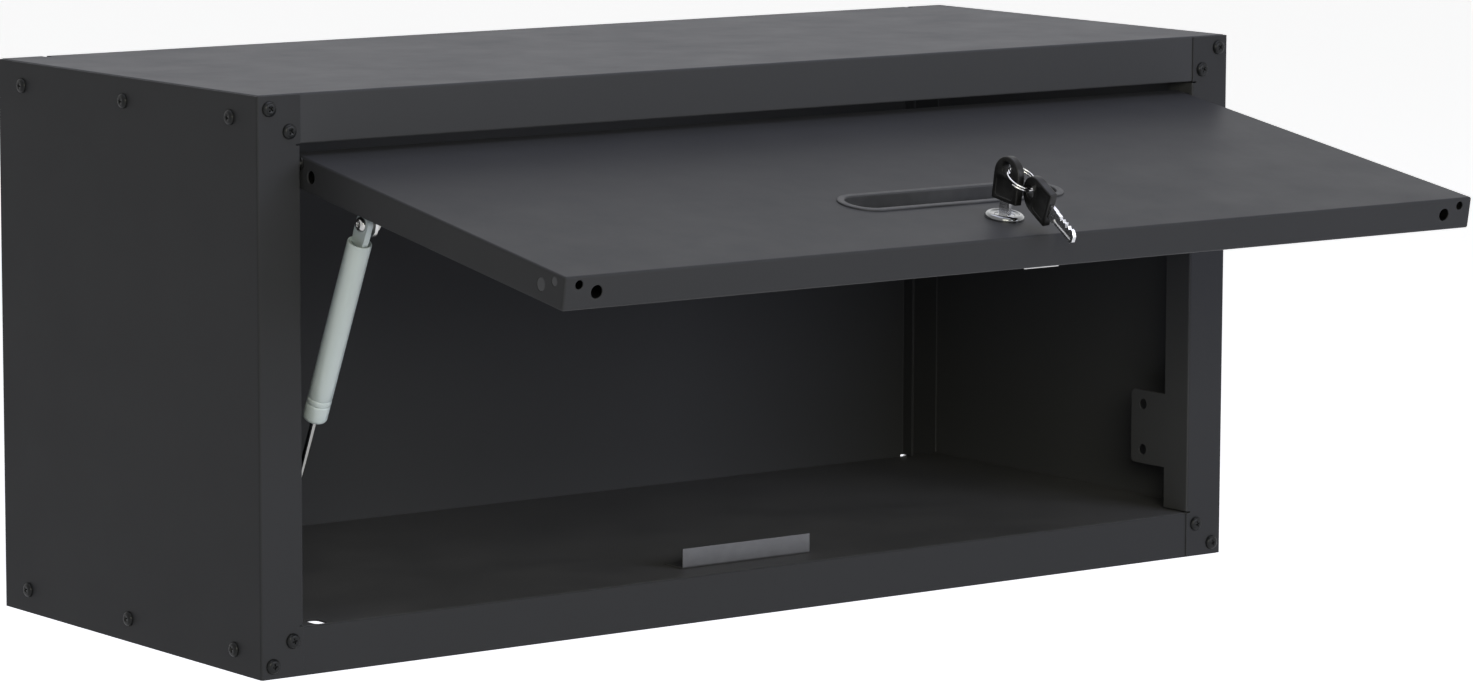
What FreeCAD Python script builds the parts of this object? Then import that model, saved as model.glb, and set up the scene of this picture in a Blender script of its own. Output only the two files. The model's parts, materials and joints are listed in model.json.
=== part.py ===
import FreeCAD, Part
import Sketcher
import math
import os

# Metal wall cabinet with a flip-up door, a gas strut and a cam lock.
#
# Every length is in millimetres and every angle in degrees. +Z is up, the door
# faces -Y, and the origin is the middle between the two wall screws, on the back.
# The door is drawn where it stands open, hanging from its hinge pins.

doc = FreeCAD.newDocument("WallCabinet")
sheet = doc.addObject("Spreadsheet::Sheet", "Sizes")

# Driving dimensions: name, value, what it is
SIZES = [
    ("case_width", 760, "outside width of the case"),
    ("case_depth", 305, "outside depth of the case, door included"),
    ("case_height", 350, "outside height of the case"),
    ("gauge", 1.0, "thickness of the sheet steel"),
    ("bend_radius", 1.5, "outside radius of every fold"),
    ("strip", 30, "width of the frame round the opening"),
    ("trim_gap", 0.5, "side panels stop this far short of the top and bottom"),
    ("stile_lip", 24, "depth of the side panel's return beside the opening"),
    ("rear_lip", 11, "depth of the folds beside the back panel"),
    ("lip_gap", 1.0, "gap between a lip's end and the floor or header"),
    ("return_width", 12, "width of the header, rail and door returns"),
    ("relief", 3.0, "width of the relief notches at the folds"),
    ("roof_relief", 3.0, "gap between the roof's rear flange and the side panels' flanges"),
    ("floor_relief", 1.2, "gap between the floor's rear flange and the side panels' flanges"),
    ("roof_notch_width", 4.5, "width of the notches in the roof's rear edge"),
    ("roof_notch_depth", 9.0, "depth of the notches in the roof's rear edge"),
    ("floor_notch_width", 1.2, "width of the notches in the floor's rear edge"),
    ("floor_notch_depth", 2.0, "depth of the notches in the floor's rear edge"),
    ("tab_depth", 34, "depth of the strut tab behind the stile's lip"),
    ("tab_height", 50, "height of the strut tab"),
    ("tab_rise", 28, "height of the tab's lower edge over the floor"),
    ("tab_corner", 4, "corner radius of the strut tab"),
    ("tab_hole_depth", 46, "distance of the tab's holes behind the front"),
    ("tab_hole_rise", 53, "height of the middle of the tab's holes over the floor"),
    ("tab_hole_pitch", 31, "distance between the tab's two holes"),
    ("tab_hole_radius", 3.5, "radius of the tab's holes"),
    ("side_screw_inset", 30, "first and last side screw from the front and back"),
    ("near_inset", 8.25, "outer corner screw from both edges of the frame"),
    ("far_inset", 22.25, "inner corner screw from both edges of the frame"),
    ("screw_radius", 2.4, "shank radius of the case screws"),
    ("screw_hole", 2.6, "radius of the case screws' holes"),
    ("head_radius", 4.7, "head radius of the case screws"),
    ("head_height", 2.4, "head height of the case screws"),
    ("head_round", 2.1, "rounding of the screw heads"),
    ("cross_length", 4.8, "length of each bar of the cross recess"),
    ("cross_width", 1.1, "width of each bar of the cross recess"),
    ("cross_depth", 1.3, "depth of the cross recess"),
    ("screw_reach", 9, "length of a case screw under its head"),
    ("nut_radius", 4.6, "corner radius of the hexagon nuts"),
    ("nut_height", 4, "height of the nuts"),
    ("back_margin", 6, "back panel stops this far short of top and bottom"),
    ("back_gap", 0.3, "gap beside the back panel"),
    ("wall_hole_half_x", 203.2, "half the distance between wall screws, across"),
    ("wall_hole_drop", 50, "wall screws below the top"),
    ("wall_hole_radius", 4, "radius of the wall screw holes"),
    ("rivet_near", 120, "inner back rivets from the middle"),
    ("rivet_far", 310, "outer back rivets from the middle"),
    ("rivet_radius", 2.0, "radius of the back rivets"),
    ("rivet_head", 3.6, "radius of a back rivet's inner head"),
    ("rivet_head_height", 1.2, "height of a back rivet's inner head"),
    ("drain_side", 45, "middle of the floor's drain slot from the case's left side"),
    ("drain_front", 9.9, "middle of the floor's drain slot from the front"),
    ("drain_width", 9, "width of the floor's drain slot"),
    ("drain_length", 14, "length of the floor's drain slot, front to back"),
    ("drain_corner", 3, "corner radius of the floor's drain slot"),
    ("strike_half", 50.5, "half the length of the strike plate"),
    ("strike_back", 26, "rear face of the strike's upright behind the front"),
    ("strike_foot", 18, "length of the strike's feet behind its upright"),
    ("strike_gap_half", 27, "half the gap between the strike's feet, where the cam comes down"),
    ("strike_height", 13, "height of the strike over the floor"),
    ("strike_rivet_half", 39, "strike rivets from the middle"),
    ("strike_rivet_head", 3.2, "head radius of the strike rivets"),
    ("strike_rivet_dome", 0.9, "head height of the strike rivets"),
    ("hinge_front", 4.5, "hinge axis behind the front"),
    ("hinge_drop", 42, "hinge axis below the top"),
    ("door_side_gap", 2.4, "gap beside the door"),
    ("door_height", 285, "height of the door"),
    ("door_thickness", 20, "thickness of the door"),
    ("hinge_inset", 9.5, "hinge axis from the door's hinge edge"),
    ("droop", 9.3, "angle of the open door below level"),
    ("pin_radius", 2.5, "radius of the hinge pins"),
    ("pin_bore", 2.56, "radius of the holes that turn on a pin"),
    ("bush_radius", 3.4, "radius of a hinge bushing's barrel"),
    ("bush_flange", 4.4, "radius of a hinge bushing's flange"),
    ("bush_length", 7, "length of a hinge bushing's barrel"),
    ("small_hole_inset", 10, "small door holes from the door's corners"),
    ("small_hole_depth", 5, "small door holes below the outer face"),
    ("small_hole_radius", 2.75, "radius of the small door holes"),
    ("large_hole_inset", 22.5, "large door holes from the door's corners"),
    ("large_hole_depth", 10, "large door holes below the outer face"),
    ("large_hole_radius", 4, "radius of the large door holes"),
    ("panel_gap", 0.7, "gap round the door's inner panel"),
    ("hat_half", 320, "half the length of the door's stiffener"),
    ("hat_place", 150, "stiffener from the door's free edge"),
    ("hat_web", 40, "width of the stiffener's web"),
    ("hat_foot", 12, "width of the stiffener's feet"),
    ("cup_place", 90.5, "middle of the pull from the door's free edge"),
    ("cup_half", 83, "half the length of the pull's lip"),
    ("cup_lip_radius", 18.5, "end radius of the pull's lip"),
    ("cup_lip_height", 1.2, "height of the pull's lip over the door"),
    ("cup_bowl_radius", 15, "end radius of the pull's bowl, outside"),
    ("cup_wall", 1.3, "wall thickness of the pull"),
    ("cup_depth", 14, "depth of the pull's bowl below the door's face"),
    ("lock_place", 39.6, "lock axis from the door's free edge"),
    ("bezel_radius", 12.2, "radius of the lock's bezel"),
    ("bezel_height", 3.4, "height of the lock's bezel"),
    ("barrel_radius", 9, "radius of the lock's barrel"),
    ("barrel_depth", 22.3, "length of the lock's barrel below the face"),
    ("plug_radius", 6.24, "radius of the lock's plug"),
    ("plug_bore", 6.3, "bore of the lock's barrel"),
    ("plug_depth", 25.3, "length of the plug below the face"),
    ("tail_side", 7, "side of the plug's square tail"),
    ("cam_thickness", 2.5, "thickness of the cam"),
    ("cam_reach", 42, "tip of the cam from the lock's axis"),
    ("cam_radius", 9, "half the width of the cam"),
    ("cam_crank", 2.7, "step down from the cam's hub to its arm"),
    ("lock_nut_radius", 13, "corner radius of the lock's nut"),
    ("key_blade_thickness", 2.1, "thickness of a key's blade"),
    ("keyway_width", 2.3, "width of the keyway"),
    ("key_blade_width", 8.2, "width of a key's blade"),
    ("keyway_height", 8.5, "height of the keyway across"),
    ("key_shoulder", 9.2, "width of a key's shoulder"),
    ("key_clear", 10.2, "bow of the inserted key above the door's face"),
    ("bow_width", 23, "width of a key's bow"),
    ("bow_height", 27.6, "height of a key's bow"),
    ("bow_thickness", 5.2, "thickness of a key's bow"),
    ("bow_hole_radius", 4.2, "radius of the hole in a key's bow"),
    ("bow_hole_drop", 7.4, "hole of a key's bow from its top"),
    ("blade_length", 28, "blade of a key beyond its bow"),
    ("key_tip_bevel", 2.6, "bevel of a key's tip on the cut side"),
    ("key_tip_corner", 1.6, "bevel of a key's tip on the plain side"),
    ("key_first_cut", 4.2, "first cut of a key from its tip"),
    ("key_cut_pitch", 3.2, "distance between a key's cuts"),
    ("key_groove_depth", 0.5, "depth of the groove along a key's blade"),
    ("ring_radius", 9.2, "radius of the split ring's centre line"),
    ("ring_wire", 0.55, "radius of the split ring's wire"),
    ("ring_pitch", 1.7, "climb of the split ring in one turn"),
    ("ring_turns", 1.9, "turns of the split ring"),
    ("strut_inset", 50, "strut's axis plane from the case's side"),
    ("strut_pivot_back", 47.15, "strut's upper pivot from the hinge axis, along the door"),
    ("strut_pivot_drop", 30.7, "strut's upper pivot below the door's outer face"),
    ("stud_depth", 49, "strut's lower pivot behind the front"),
    ("stud_rise", 53, "strut's lower pivot over the floor"),
    ("tube_radius", 7.5, "radius of the strut's tube"),
    ("tube_bore", 6.3, "bore of the strut's tube"),
    ("tube_top", 12.1, "top of the tube from the upper pivot"),
    ("tube_bottom", 135.5, "bottom of the tube from the upper pivot"),
    ("tube_round", 3, "rounding of the tube's lower end"),
    ("tube_recess", 2.4, "depth of the tube's hollow round the eye's neck"),
    ("groove_low", 12.0, "lower groove from the tube's lower end"),
    ("groove_high", 16.0, "upper groove from the tube's lower end"),
    ("groove_depth", 0.4, "depth of the tube's grooves"),
    ("rod_radius", 2.0, "radius of the strut's rod"),
    ("piston_place", 70, "piston from the upper pivot"),
    ("eye_radius", 6.3, "radius of the strut's upper eye"),
    ("eye_thickness", 3.8, "thickness of the strut's upper eye"),
    ("ear_gap", 1.3, "gap between the eye and the bracket's ear"),
    ("ear_thickness", 2, "thickness of the door bracket"),
    ("plate_thickness", 2.5, "thickness of the strut's lower plate"),
    ("countersink", 1.9, "depth of the flat screws' heads in the lower plate"),
    ("ball_radius", 5, "radius of the strut's ball stud"),
    ("open_gap", 0.3, "gap between the ball stud and the lower plate"),
]
for row, (name, value, meaning) in enumerate(SIZES, start=1):
    sheet.set(f"A{row}", meaning)
    sheet.set(f"B{row}", str(value))
    sheet.setAlias(f"B{row}", name)
doc.recompute()


class Size:
    """A length or angle: its number now, and its formula over the sheet."""

    def __init__(self, number, formula):
        self.number = float(number)
        self.formula = formula

    def __add__(self, other):
        other = as_size(other)
        return Size(self.number + other.number, f"({self.formula} + {other.formula})")

    def __sub__(self, other):
        other = as_size(other)
        return Size(self.number - other.number, f"({self.formula} - {other.formula})")

    def __mul__(self, other):
        other = as_size(other)
        return Size(self.number * other.number, f"({self.formula} * {other.formula})")

    def __truediv__(self, other):
        other = as_size(other)
        return Size(self.number / other.number, f"({self.formula} / {other.formula})")

    def __neg__(self):
        return Size(-self.number, f"(0 - {self.formula})")

    def __radd__(self, other):
        return as_size(other) + self

    def __rsub__(self, other):
        return as_size(other) - self

    def __rmul__(self, other):
        return as_size(other) * self


def as_size(value):
    """Take a plain number or a Size as a Size."""
    if isinstance(value, Size):
        return value
    return Size(value, f"{float(value):.6f}")


def cell(name):
    """The sheet's value of that name."""
    return Size(float(sheet.get(name)), f"Sizes.{name}")


def sine(angle):
    return Size(math.sin(math.radians(angle.number)), f"sin({angle.formula})")


def cosine(angle):
    return Size(math.cos(math.radians(angle.number)), f"cos({angle.formula})")


def bind(obj, path, size):
    """Tie a property to the sheet."""
    obj.setExpression(path, as_size(size).formula)


def ordered(first, second):
    """Two sizes, the lower first."""
    first = as_size(first)
    second = as_size(second)
    if first.number <= second.number:
        return first, second
    return second, first


# Sizes that follow from the sheet
gauge = cell("gauge")
fold = cell("bend_radius")
inner_fold = fold - gauge
strip = cell("strip")
side_x = cell("case_width") / 2
front_y = -cell("case_depth")
back_y = Size(0, "0")
top_z = cell("wall_hole_drop")
bottom_z = top_z - cell("case_height")
opening_x = side_x - strip
floor_z = bottom_z + strip
header_z = top_z - strip
lip_low = floor_z + cell("lip_gap")
lip_high = header_z - cell("lip_gap")
hinge_y = front_y + cell("hinge_front")
hinge_z = top_z - cell("hinge_drop")
screw_rows = [
    front_y + cell("side_screw_inset"),
    front_y / 2,
    back_y - cell("side_screw_inset"),
]
corner_insets = [cell("near_inset"), cell("far_inset")]

# The door's own frame: x across, y from the hinge axis (minus towards the
# free edge), z out of the outer face, origin on the hinge axis
door_half = opening_x - cell("door_side_gap")
door_top = cell("hinge_front")
door_under = door_top - cell("door_thickness")
door_rear = cell("hinge_inset")
door_free = door_rear - cell("door_height")
panel_top = door_under + gauge * 2
lock_y = door_free + cell("lock_place")
cup_y = door_free + cell("cup_place")
pivot_y = -cell("strut_pivot_back")
pivot_z = door_top - cell("strut_pivot_drop")
strut_x = cell("strut_inset") - side_x


# Shapes that a sketch can hold
def outline(corners):
    """A closed run of straight lines; a corner is (x, y) or (x, y, radius)."""
    return ("outline", corners)


def rectangle(x_low, y_low, x_high, y_high, radius=None):
    corners = [(x_low, y_low), (x_high, y_low), (x_high, y_high), (x_low, y_high)]
    if radius is not None:
        corners = [(x, y, radius) for x, y in corners]
    return outline(corners)


def circle(x, y, radius):
    return ("circle", x, y, radius)


def slot(x_low, x_high, y, radius):
    """An obround along x, from end to end."""
    return ("slot", x_low, x_high, y, radius)


def hexagon(x, y, radius):
    """Six corners on a circle, one of them to the side."""
    half = radius * 0.5
    flat = radius * (math.sqrt(3) / 2)
    return outline([
        (x + radius, y),
        (x + half, y + flat),
        (x - half, y + flat),
        (x - radius, y),
        (x - half, y - flat),
        (x + half, y - flat),
    ])


def cross(x, y):
    """The two bars of a cross recess, as one outline."""
    reach = cell("cross_length") / 2
    half = cell("cross_width") / 2
    return outline([
        (x + reach, y - half), (x + reach, y + half), (x + half, y + half), (x + half, y + reach),
        (x - half, y + reach), (x - half, y + half), (x - reach, y + half), (x - reach, y - half),
        (x - half, y - half), (x - half, y - reach), (x + half, y - reach), (x + half, y - half),
    ])


NEAR_ZERO = 1e-9


class Drawing:
    """Fills one sketch, with every dimension tied to the sheet."""

    def __init__(self, sketch):
        self.sketch = sketch
        self.constraints = []
        self.bound = []

    def add_line(self, start, end):
        line = Part.LineSegment(FreeCAD.Vector(*start, 0), FreeCAD.Vector(*end, 0))
        return self.sketch.addGeometry(line, False)

    def add_arc(self, centre, radius, start_angle, end_angle):
        ring = Part.Circle(FreeCAD.Vector(*centre, 0), FreeCAD.Vector(0, 0, 1), radius)
        return self.sketch.addGeometry(Part.ArcOfCircle(ring, start_angle, end_angle), False)

    def tie(self, *parts):
        self.constraints.append(Sketcher.Constraint(*parts))

    def dimension(self, kind, parts, size):
        self.bound.append((len(self.constraints), size))
        self.tie(kind, *parts, size.number)

    def at_x(self, geometry, point, x):
        """Hold a point's distance from the vertical axis."""
        if abs(x.number) < NEAR_ZERO:
            self.tie("PointOnObject", geometry, point, -2)
        else:
            self.dimension("DistanceX", (-1, 1, geometry, point), x)

    def at_y(self, geometry, point, y):
        """Hold a point's distance from the horizontal axis."""
        if abs(y.number) < NEAR_ZERO:
            self.tie("PointOnObject", geometry, point, -1)
        else:
            self.dimension("DistanceY", (-1, 1, geometry, point), y)

    def draw_circle(self, x, y, radius):
        x, y, radius = as_size(x), as_size(y), as_size(radius)
        centre = FreeCAD.Vector(x.number, y.number, 0)
        ring = self.sketch.addGeometry(Part.Circle(centre, FreeCAD.Vector(0, 0, 1), radius.number), False)
        self.at_x(ring, 3, x)
        self.at_y(ring, 3, y)
        self.dimension("Radius", (ring,), radius)

    def draw_slot(self, x_low, x_high, y, radius):
        x_low, x_high, y, radius = as_size(x_low), as_size(x_high), as_size(y), as_size(radius)
        left = x_low + radius
        right = x_high - radius
        high = y.number + radius.number
        low = y.number - radius.number
        upper = self.add_line((right.number, high), (left.number, high))
        left_end = self.add_arc((left.number, y.number), radius.number, math.pi / 2, 3 * math.pi / 2)
        lower = self.add_line((left.number, low), (right.number, low))
        right_end = self.add_arc((right.number, y.number), radius.number, -math.pi / 2, math.pi / 2)
        self.tie("Tangent", upper, 2, left_end, 1)
        self.tie("Tangent", left_end, 2, lower, 1)
        self.tie("Tangent", lower, 2, right_end, 1)
        self.tie("Tangent", right_end, 2, upper, 1)
        self.tie("Horizontal", upper)
        self.at_x(left_end, 3, left)
        self.at_y(left_end, 3, y)
        self.at_x(right_end, 3, right)
        self.dimension("Radius", (left_end,), radius)

    def draw_outline(self, corners):
        points = []
        for corner in corners:
            radius = as_size(corner[2]) if len(corner) == 3 else None
            points.append((as_size(corner[0]), as_size(corner[1]), radius))
        count = len(points)
        numbers = [(x.number, y.number) for x, y, radius in points]
        enter, leave, arcs = [], [], []
        for index, (x, y, radius) in enumerate(points):
            here = FreeCAD.Vector(*numbers[index], 0)
            before = FreeCAD.Vector(*numbers[index - 1], 0)
            after = FreeCAD.Vector(*numbers[(index + 1) % count], 0)
            if radius is None:
                enter.append(numbers[index])
                leave.append(numbers[index])
                arcs.append(None)
                continue
            incoming = (here - before).normalize()
            outgoing = (after - here).normalize()
            first = here - incoming * radius.number
            last = here + outgoing * radius.number
            centre = first + outgoing * radius.number
            start_angle = math.atan2(first.y - centre.y, first.x - centre.x)
            end_angle = math.atan2(last.y - centre.y, last.x - centre.x)
            left_turn = incoming.cross(outgoing).z > 0
            if not left_turn:
                start_angle, end_angle = end_angle, start_angle
            arc = self.add_arc((centre.x, centre.y), radius.number, start_angle, end_angle)
            self.dimension("Radius", (arc,), radius)
            enter.append((first.x, first.y))
            leave.append((last.x, last.y))
            arcs.append((arc, 1, 2) if left_turn else (arc, 2, 1))
        lines, flat, upright = [], [], []
        for index in range(count):
            after = (index + 1) % count
            lines.append(self.add_line(leave[index], enter[after]))
            flat.append(abs(numbers[index][1] - numbers[after][1]) < NEAR_ZERO)
            upright.append(abs(numbers[index][0] - numbers[after][0]) < NEAR_ZERO)
        for index in range(count):
            x, y, radius = points[index]
            line = lines[index]
            before = lines[index - 1]
            if arcs[index] is None:
                self.tie("Coincident", before, 2, line, 1)
            else:
                arc, arc_start, arc_end = arcs[index]
                self.tie("Tangent", before, 2, arc, arc_start)
                self.tie("Tangent", arc, arc_end, line, 1)
            if flat[index]:
                self.tie("Horizontal", line)
                self.at_y(line, 1, y)
            if upright[index]:
                self.tie("Vertical", line)
                self.at_x(line, 1, x)
            if arcs[index] is None and not upright[index] and not upright[index - 1]:
                self.at_x(line, 1, x)
            if arcs[index] is None and not flat[index] and not flat[index - 1]:
                self.at_y(line, 1, y)

    def draw(self, shapes):
        for shape in shapes:
            kind = shape[0]
            if kind == "outline":
                self.draw_outline(shape[1])
            elif kind == "circle":
                self.draw_circle(*shape[1:])
            else:
                self.draw_slot(*shape[1:])
        self.sketch.addConstraint(self.constraints)
        for index, size in self.bound:
            if "Sizes" in size.formula:
                self.sketch.setExpression(f"Constraints[{index}]", size.formula)


def settle(feature):
    """Recompute, and stop at once if the feature fails."""
    doc.recompute()
    if "Invalid" in feature.State:
        raise ValueError(f"{feature.Name} fails")


def origin_feature(body, role):
    return [feature for feature in body.Origin.OriginFeatures if feature.Role == role][0]


class Piece:
    """One sub-part: a body whose features are sketched on its own planes."""

    def __init__(self, label):
        self.body = doc.addObject("PartDesign::Body", label)
        self.body.Label = label

    def sketch(self, name, plane, offset, shapes):
        """A sketch on the XY, XZ or YZ plane, moved along the plane's axis."""
        sketch = self.body.newObject("Sketcher::SketchObject", f"{self.body.Name}_{name}_sketch")
        sketch.AttachmentSupport = [(origin_feature(self.body, plane + "_Plane"), "")]
        sketch.MapMode = "FlatFace"
        bind(sketch, "AttachmentOffset.Base.z", offset)
        Drawing(sketch).draw(shapes)
        return sketch

    def extrude(self, kind, name, plane, first, second, shapes):
        low, high = ordered(first, second)
        offset = -high if plane == "XZ" else low
        sketch = self.sketch(name, plane, offset, shapes)
        feature = self.body.newObject(kind, f"{self.body.Name}_{name}")
        feature.Profile = sketch
        bind(feature, "Length", high - low)
        feature.Reversed = kind == "PartDesign::Pocket"
        settle(feature)
        return feature

    def pad(self, name, plane, first, second, shapes):
        return self.extrude("PartDesign::Pad", name, plane, first, second, shapes)

    def cut(self, name, plane, first, second, shapes):
        before = self.body.Shape.Volume
        feature = self.extrude("PartDesign::Pocket", name, plane, first, second, shapes)
        if self.body.Shape.Volume > before - 0.01:
            raise ValueError(f"{self.body.Label}: {name} cuts nothing")
        return feature

    def revolve(self, name, shapes):
        """Turn a half section about the local Z axis."""
        sketch = self.sketch(name, "XZ", 0, shapes)
        feature = self.body.newObject("PartDesign::Revolution", f"{self.body.Name}_{name}")
        feature.Profile = sketch
        feature.ReferenceAxis = (sketch, ["V_Axis"])
        feature.Angle = 360
        settle(feature)
        return feature

    def groove(self, name, shapes):
        """Turn a half section about the local Z axis and take it away."""
        before = self.body.Shape.Volume
        sketch = self.sketch(name, "XZ", 0, shapes)
        feature = self.body.newObject("PartDesign::Groove", f"{self.body.Name}_{name}")
        feature.Profile = sketch
        feature.ReferenceAxis = (sketch, ["V_Axis"])
        feature.Angle = 360
        settle(feature)
        if self.body.Shape.Volume > before - 0.01:
            raise ValueError(f"{self.body.Label}: {name} cuts nothing")
        return feature

    def round_edges(self, name, radius, wanted):
        """Fillet the edges that the test picks."""
        base = self.body.Tip
        names = [f"Edge{index + 1}" for index, edge in enumerate(base.Shape.Edges) if wanted(edge)]
        if not names:
            raise ValueError(f"{self.body.Label}: {name} finds no edge")
        feature = self.body.newObject("PartDesign::Fillet", f"{self.body.Name}_{name}")
        feature.Base = (base, names)
        bind(feature, "Radius", radius)
        settle(feature)
        return feature

    def bevel_edges(self, name, size, wanted):
        """Chamfer the edges that the test picks."""
        base = self.body.Tip
        names = [f"Edge{index + 1}" for index, edge in enumerate(base.Shape.Edges) if wanted(edge)]
        feature = self.body.newObject("PartDesign::Chamfer", f"{self.body.Name}_{name}")
        feature.Base = (base, names)
        bind(feature, "Size", size)
        settle(feature)
        return feature

    def hollow(self, name, wanted):
        """Shell the block inwards to the sheet's gauge, open at the picked faces."""
        base = self.body.Tip
        names = [f"Face{index + 1}" for index, face in enumerate(base.Shape.Faces) if wanted(face)]
        feature = self.body.newObject("PartDesign::Thickness", f"{self.body.Name}_{name}")
        feature.Base = (base, names)
        feature.Reversed = True
        bind(feature, "Value", gauge)
        settle(feature)
        return feature

    def mirror(self, name):
        """Repeat the whole piece on the other side of the middle plane."""
        feature = self.body.newObject("PartDesign::Mirrored", f"{self.body.Name}_{name}")
        feature.TransformMode = "Whole shape"
        feature.MirrorPlane = (origin_feature(self.body, "YZ_Plane"), [""])
        self.body.Tip = feature
        settle(feature)
        return feature


def close(value, size):
    return abs(value - as_size(size).number) < 1e-4


def level_edges(z):
    """A test for edges that lie at one height."""
    return lambda edge: close(edge.BoundBox.ZMin, z) and close(edge.BoundBox.ZMax, z)


def plane_edges_x(x):
    return lambda edge: close(edge.BoundBox.XMin, x) and close(edge.BoundBox.XMax, x)


def plane_edges_y(y):
    return lambda edge: close(edge.BoundBox.YMin, y) and close(edge.BoundBox.YMax, y)


def under_face(z):
    """A test for the flat face at one height."""
    return lambda face: close(face.BoundBox.ZMin, z) and close(face.BoundBox.ZMax, z)


# Placing pieces on the open door
droop = cell("droop")


def door_place(x, y, z):
    """A point of the door's own frame, in the case's frame."""
    x, y, z = as_size(x), as_size(y), as_size(z)
    place_y = hinge_y + y * cosine(droop) - z * sine(droop)
    place_z = hinge_z + y * sine(droop) + z * cosine(droop)
    return x, place_y, place_z


def hang(body, x=0, y=0, z=0):
    """Put a body's origin at a point of the door and tilt it with the door."""
    body.Placement = FreeCAD.Placement(FreeCAD.Vector(), FreeCAD.Rotation(FreeCAD.Vector(1, 0, 0), droop.number))
    for axis, size in zip("xyz", door_place(x, y, z)):
        bind(body, f"Placement.Base.{axis}", size)
    bind(body, "Placement.Rotation.Angle", droop)


# The case


def make_side_panel(label, hand):
    """A C-shaped side: outer wall, stile with its return, rear flange with its lip."""
    piece = Piece(label)
    lip_x = opening_x + gauge
    wall_x = side_x - gauge
    section = [
        (side_x, front_y, fold),
        (side_x, back_y, fold),
        (opening_x, back_y, fold),
        (opening_x, back_y - cell("rear_lip")),
        (lip_x, back_y - cell("rear_lip")),
        (lip_x, back_y - gauge, inner_fold),
        (wall_x, back_y - gauge, inner_fold),
        (wall_x, front_y + gauge, inner_fold),
        (lip_x, front_y + gauge, inner_fold),
        (lip_x, front_y + cell("stile_lip")),
        (opening_x, front_y + cell("stile_lip")),
        (opening_x, front_y, fold),
    ]
    section = [(corner[0] * hand, *corner[1:]) for corner in section]
    low = bottom_z + cell("trim_gap")
    high = top_z - cell("trim_gap")
    piece.pad("section", "XY", low, high, [outline(section)])
    # The lips stop short of the floor and the header; the flanges run on
    relief_x = opening_x + cell("relief")
    piece.cut("lip_ends", "YZ", (opening_x - gauge) * hand, relief_x * hand, [
        rectangle(front_y - gauge, low - gauge, back_y + gauge, lip_low),
        rectangle(front_y - gauge, lip_high, back_y + gauge, high + gauge),
    ])
    x_low, x_high = ordered(opening_x * hand, relief_x * hand)
    ends = [rectangle(x_low, low, x_high, floor_z), rectangle(x_low, header_z, x_high, high)]
    piece.pad("stile_ends", "XZ", front_y, front_y + gauge, ends)
    piece.pad("rear_ends", "XZ", back_y - gauge, back_y, ends)
    # The strut's tab carries on from the stile's return
    tab_front = front_y + cell("stile_lip") - gauge
    tab_back = front_y + cell("stile_lip") + cell("tab_depth")
    tab_low = floor_z + cell("tab_rise")
    tab_high = tab_low + cell("tab_height")
    piece.pad("strut_tab", "YZ", opening_x * hand, lip_x * hand, [outline([
        (tab_front, tab_low),
        (tab_back, tab_low, cell("tab_corner")),
        (tab_back, tab_high, cell("tab_corner")),
        (tab_front, tab_high),
    ])])
    piece.cut("lip_holes", "YZ", (opening_x - gauge) * hand, (lip_x + gauge) * hand, [
        *[circle(front_y + cell("tab_hole_depth"), z, cell("tab_hole_radius")) for z in tab_hole_heights],
        circle(hinge_y, hinge_z, cell("pin_bore")),
    ])
    piece.cut("side_screw_holes", "YZ", (wall_x - gauge) * hand, (side_x + gauge) * hand, [
        circle(y, z, cell("screw_hole")) for y in screw_rows for z in side_screw_heights
    ])
    piece.cut("corner_screw_holes", "XZ", front_y - gauge, front_y + gauge * 2, [
        circle((side_x - inset) * hand, z, cell("screw_hole"))
        for inset in corner_insets for z in (bottom_z + inset, top_z - inset)
    ])
    return piece


side_screw_heights = [bottom_z + strip / 2, top_z - strip / 2]
tab_hole_middle = floor_z + cell("tab_hole_rise")
tab_hole_heights = [
    tab_hole_middle - cell("tab_hole_pitch") / 2,
    tab_hole_middle + cell("tab_hole_pitch") / 2,
]
pan_x = side_x - gauge
pan_front = front_y + gauge
pan_rear = back_y - gauge
rivet_columns = [
    -cell("rivet_far"),
    -cell("rivet_near"),
    cell("rivet_near"),
    cell("rivet_far"),
]


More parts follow.
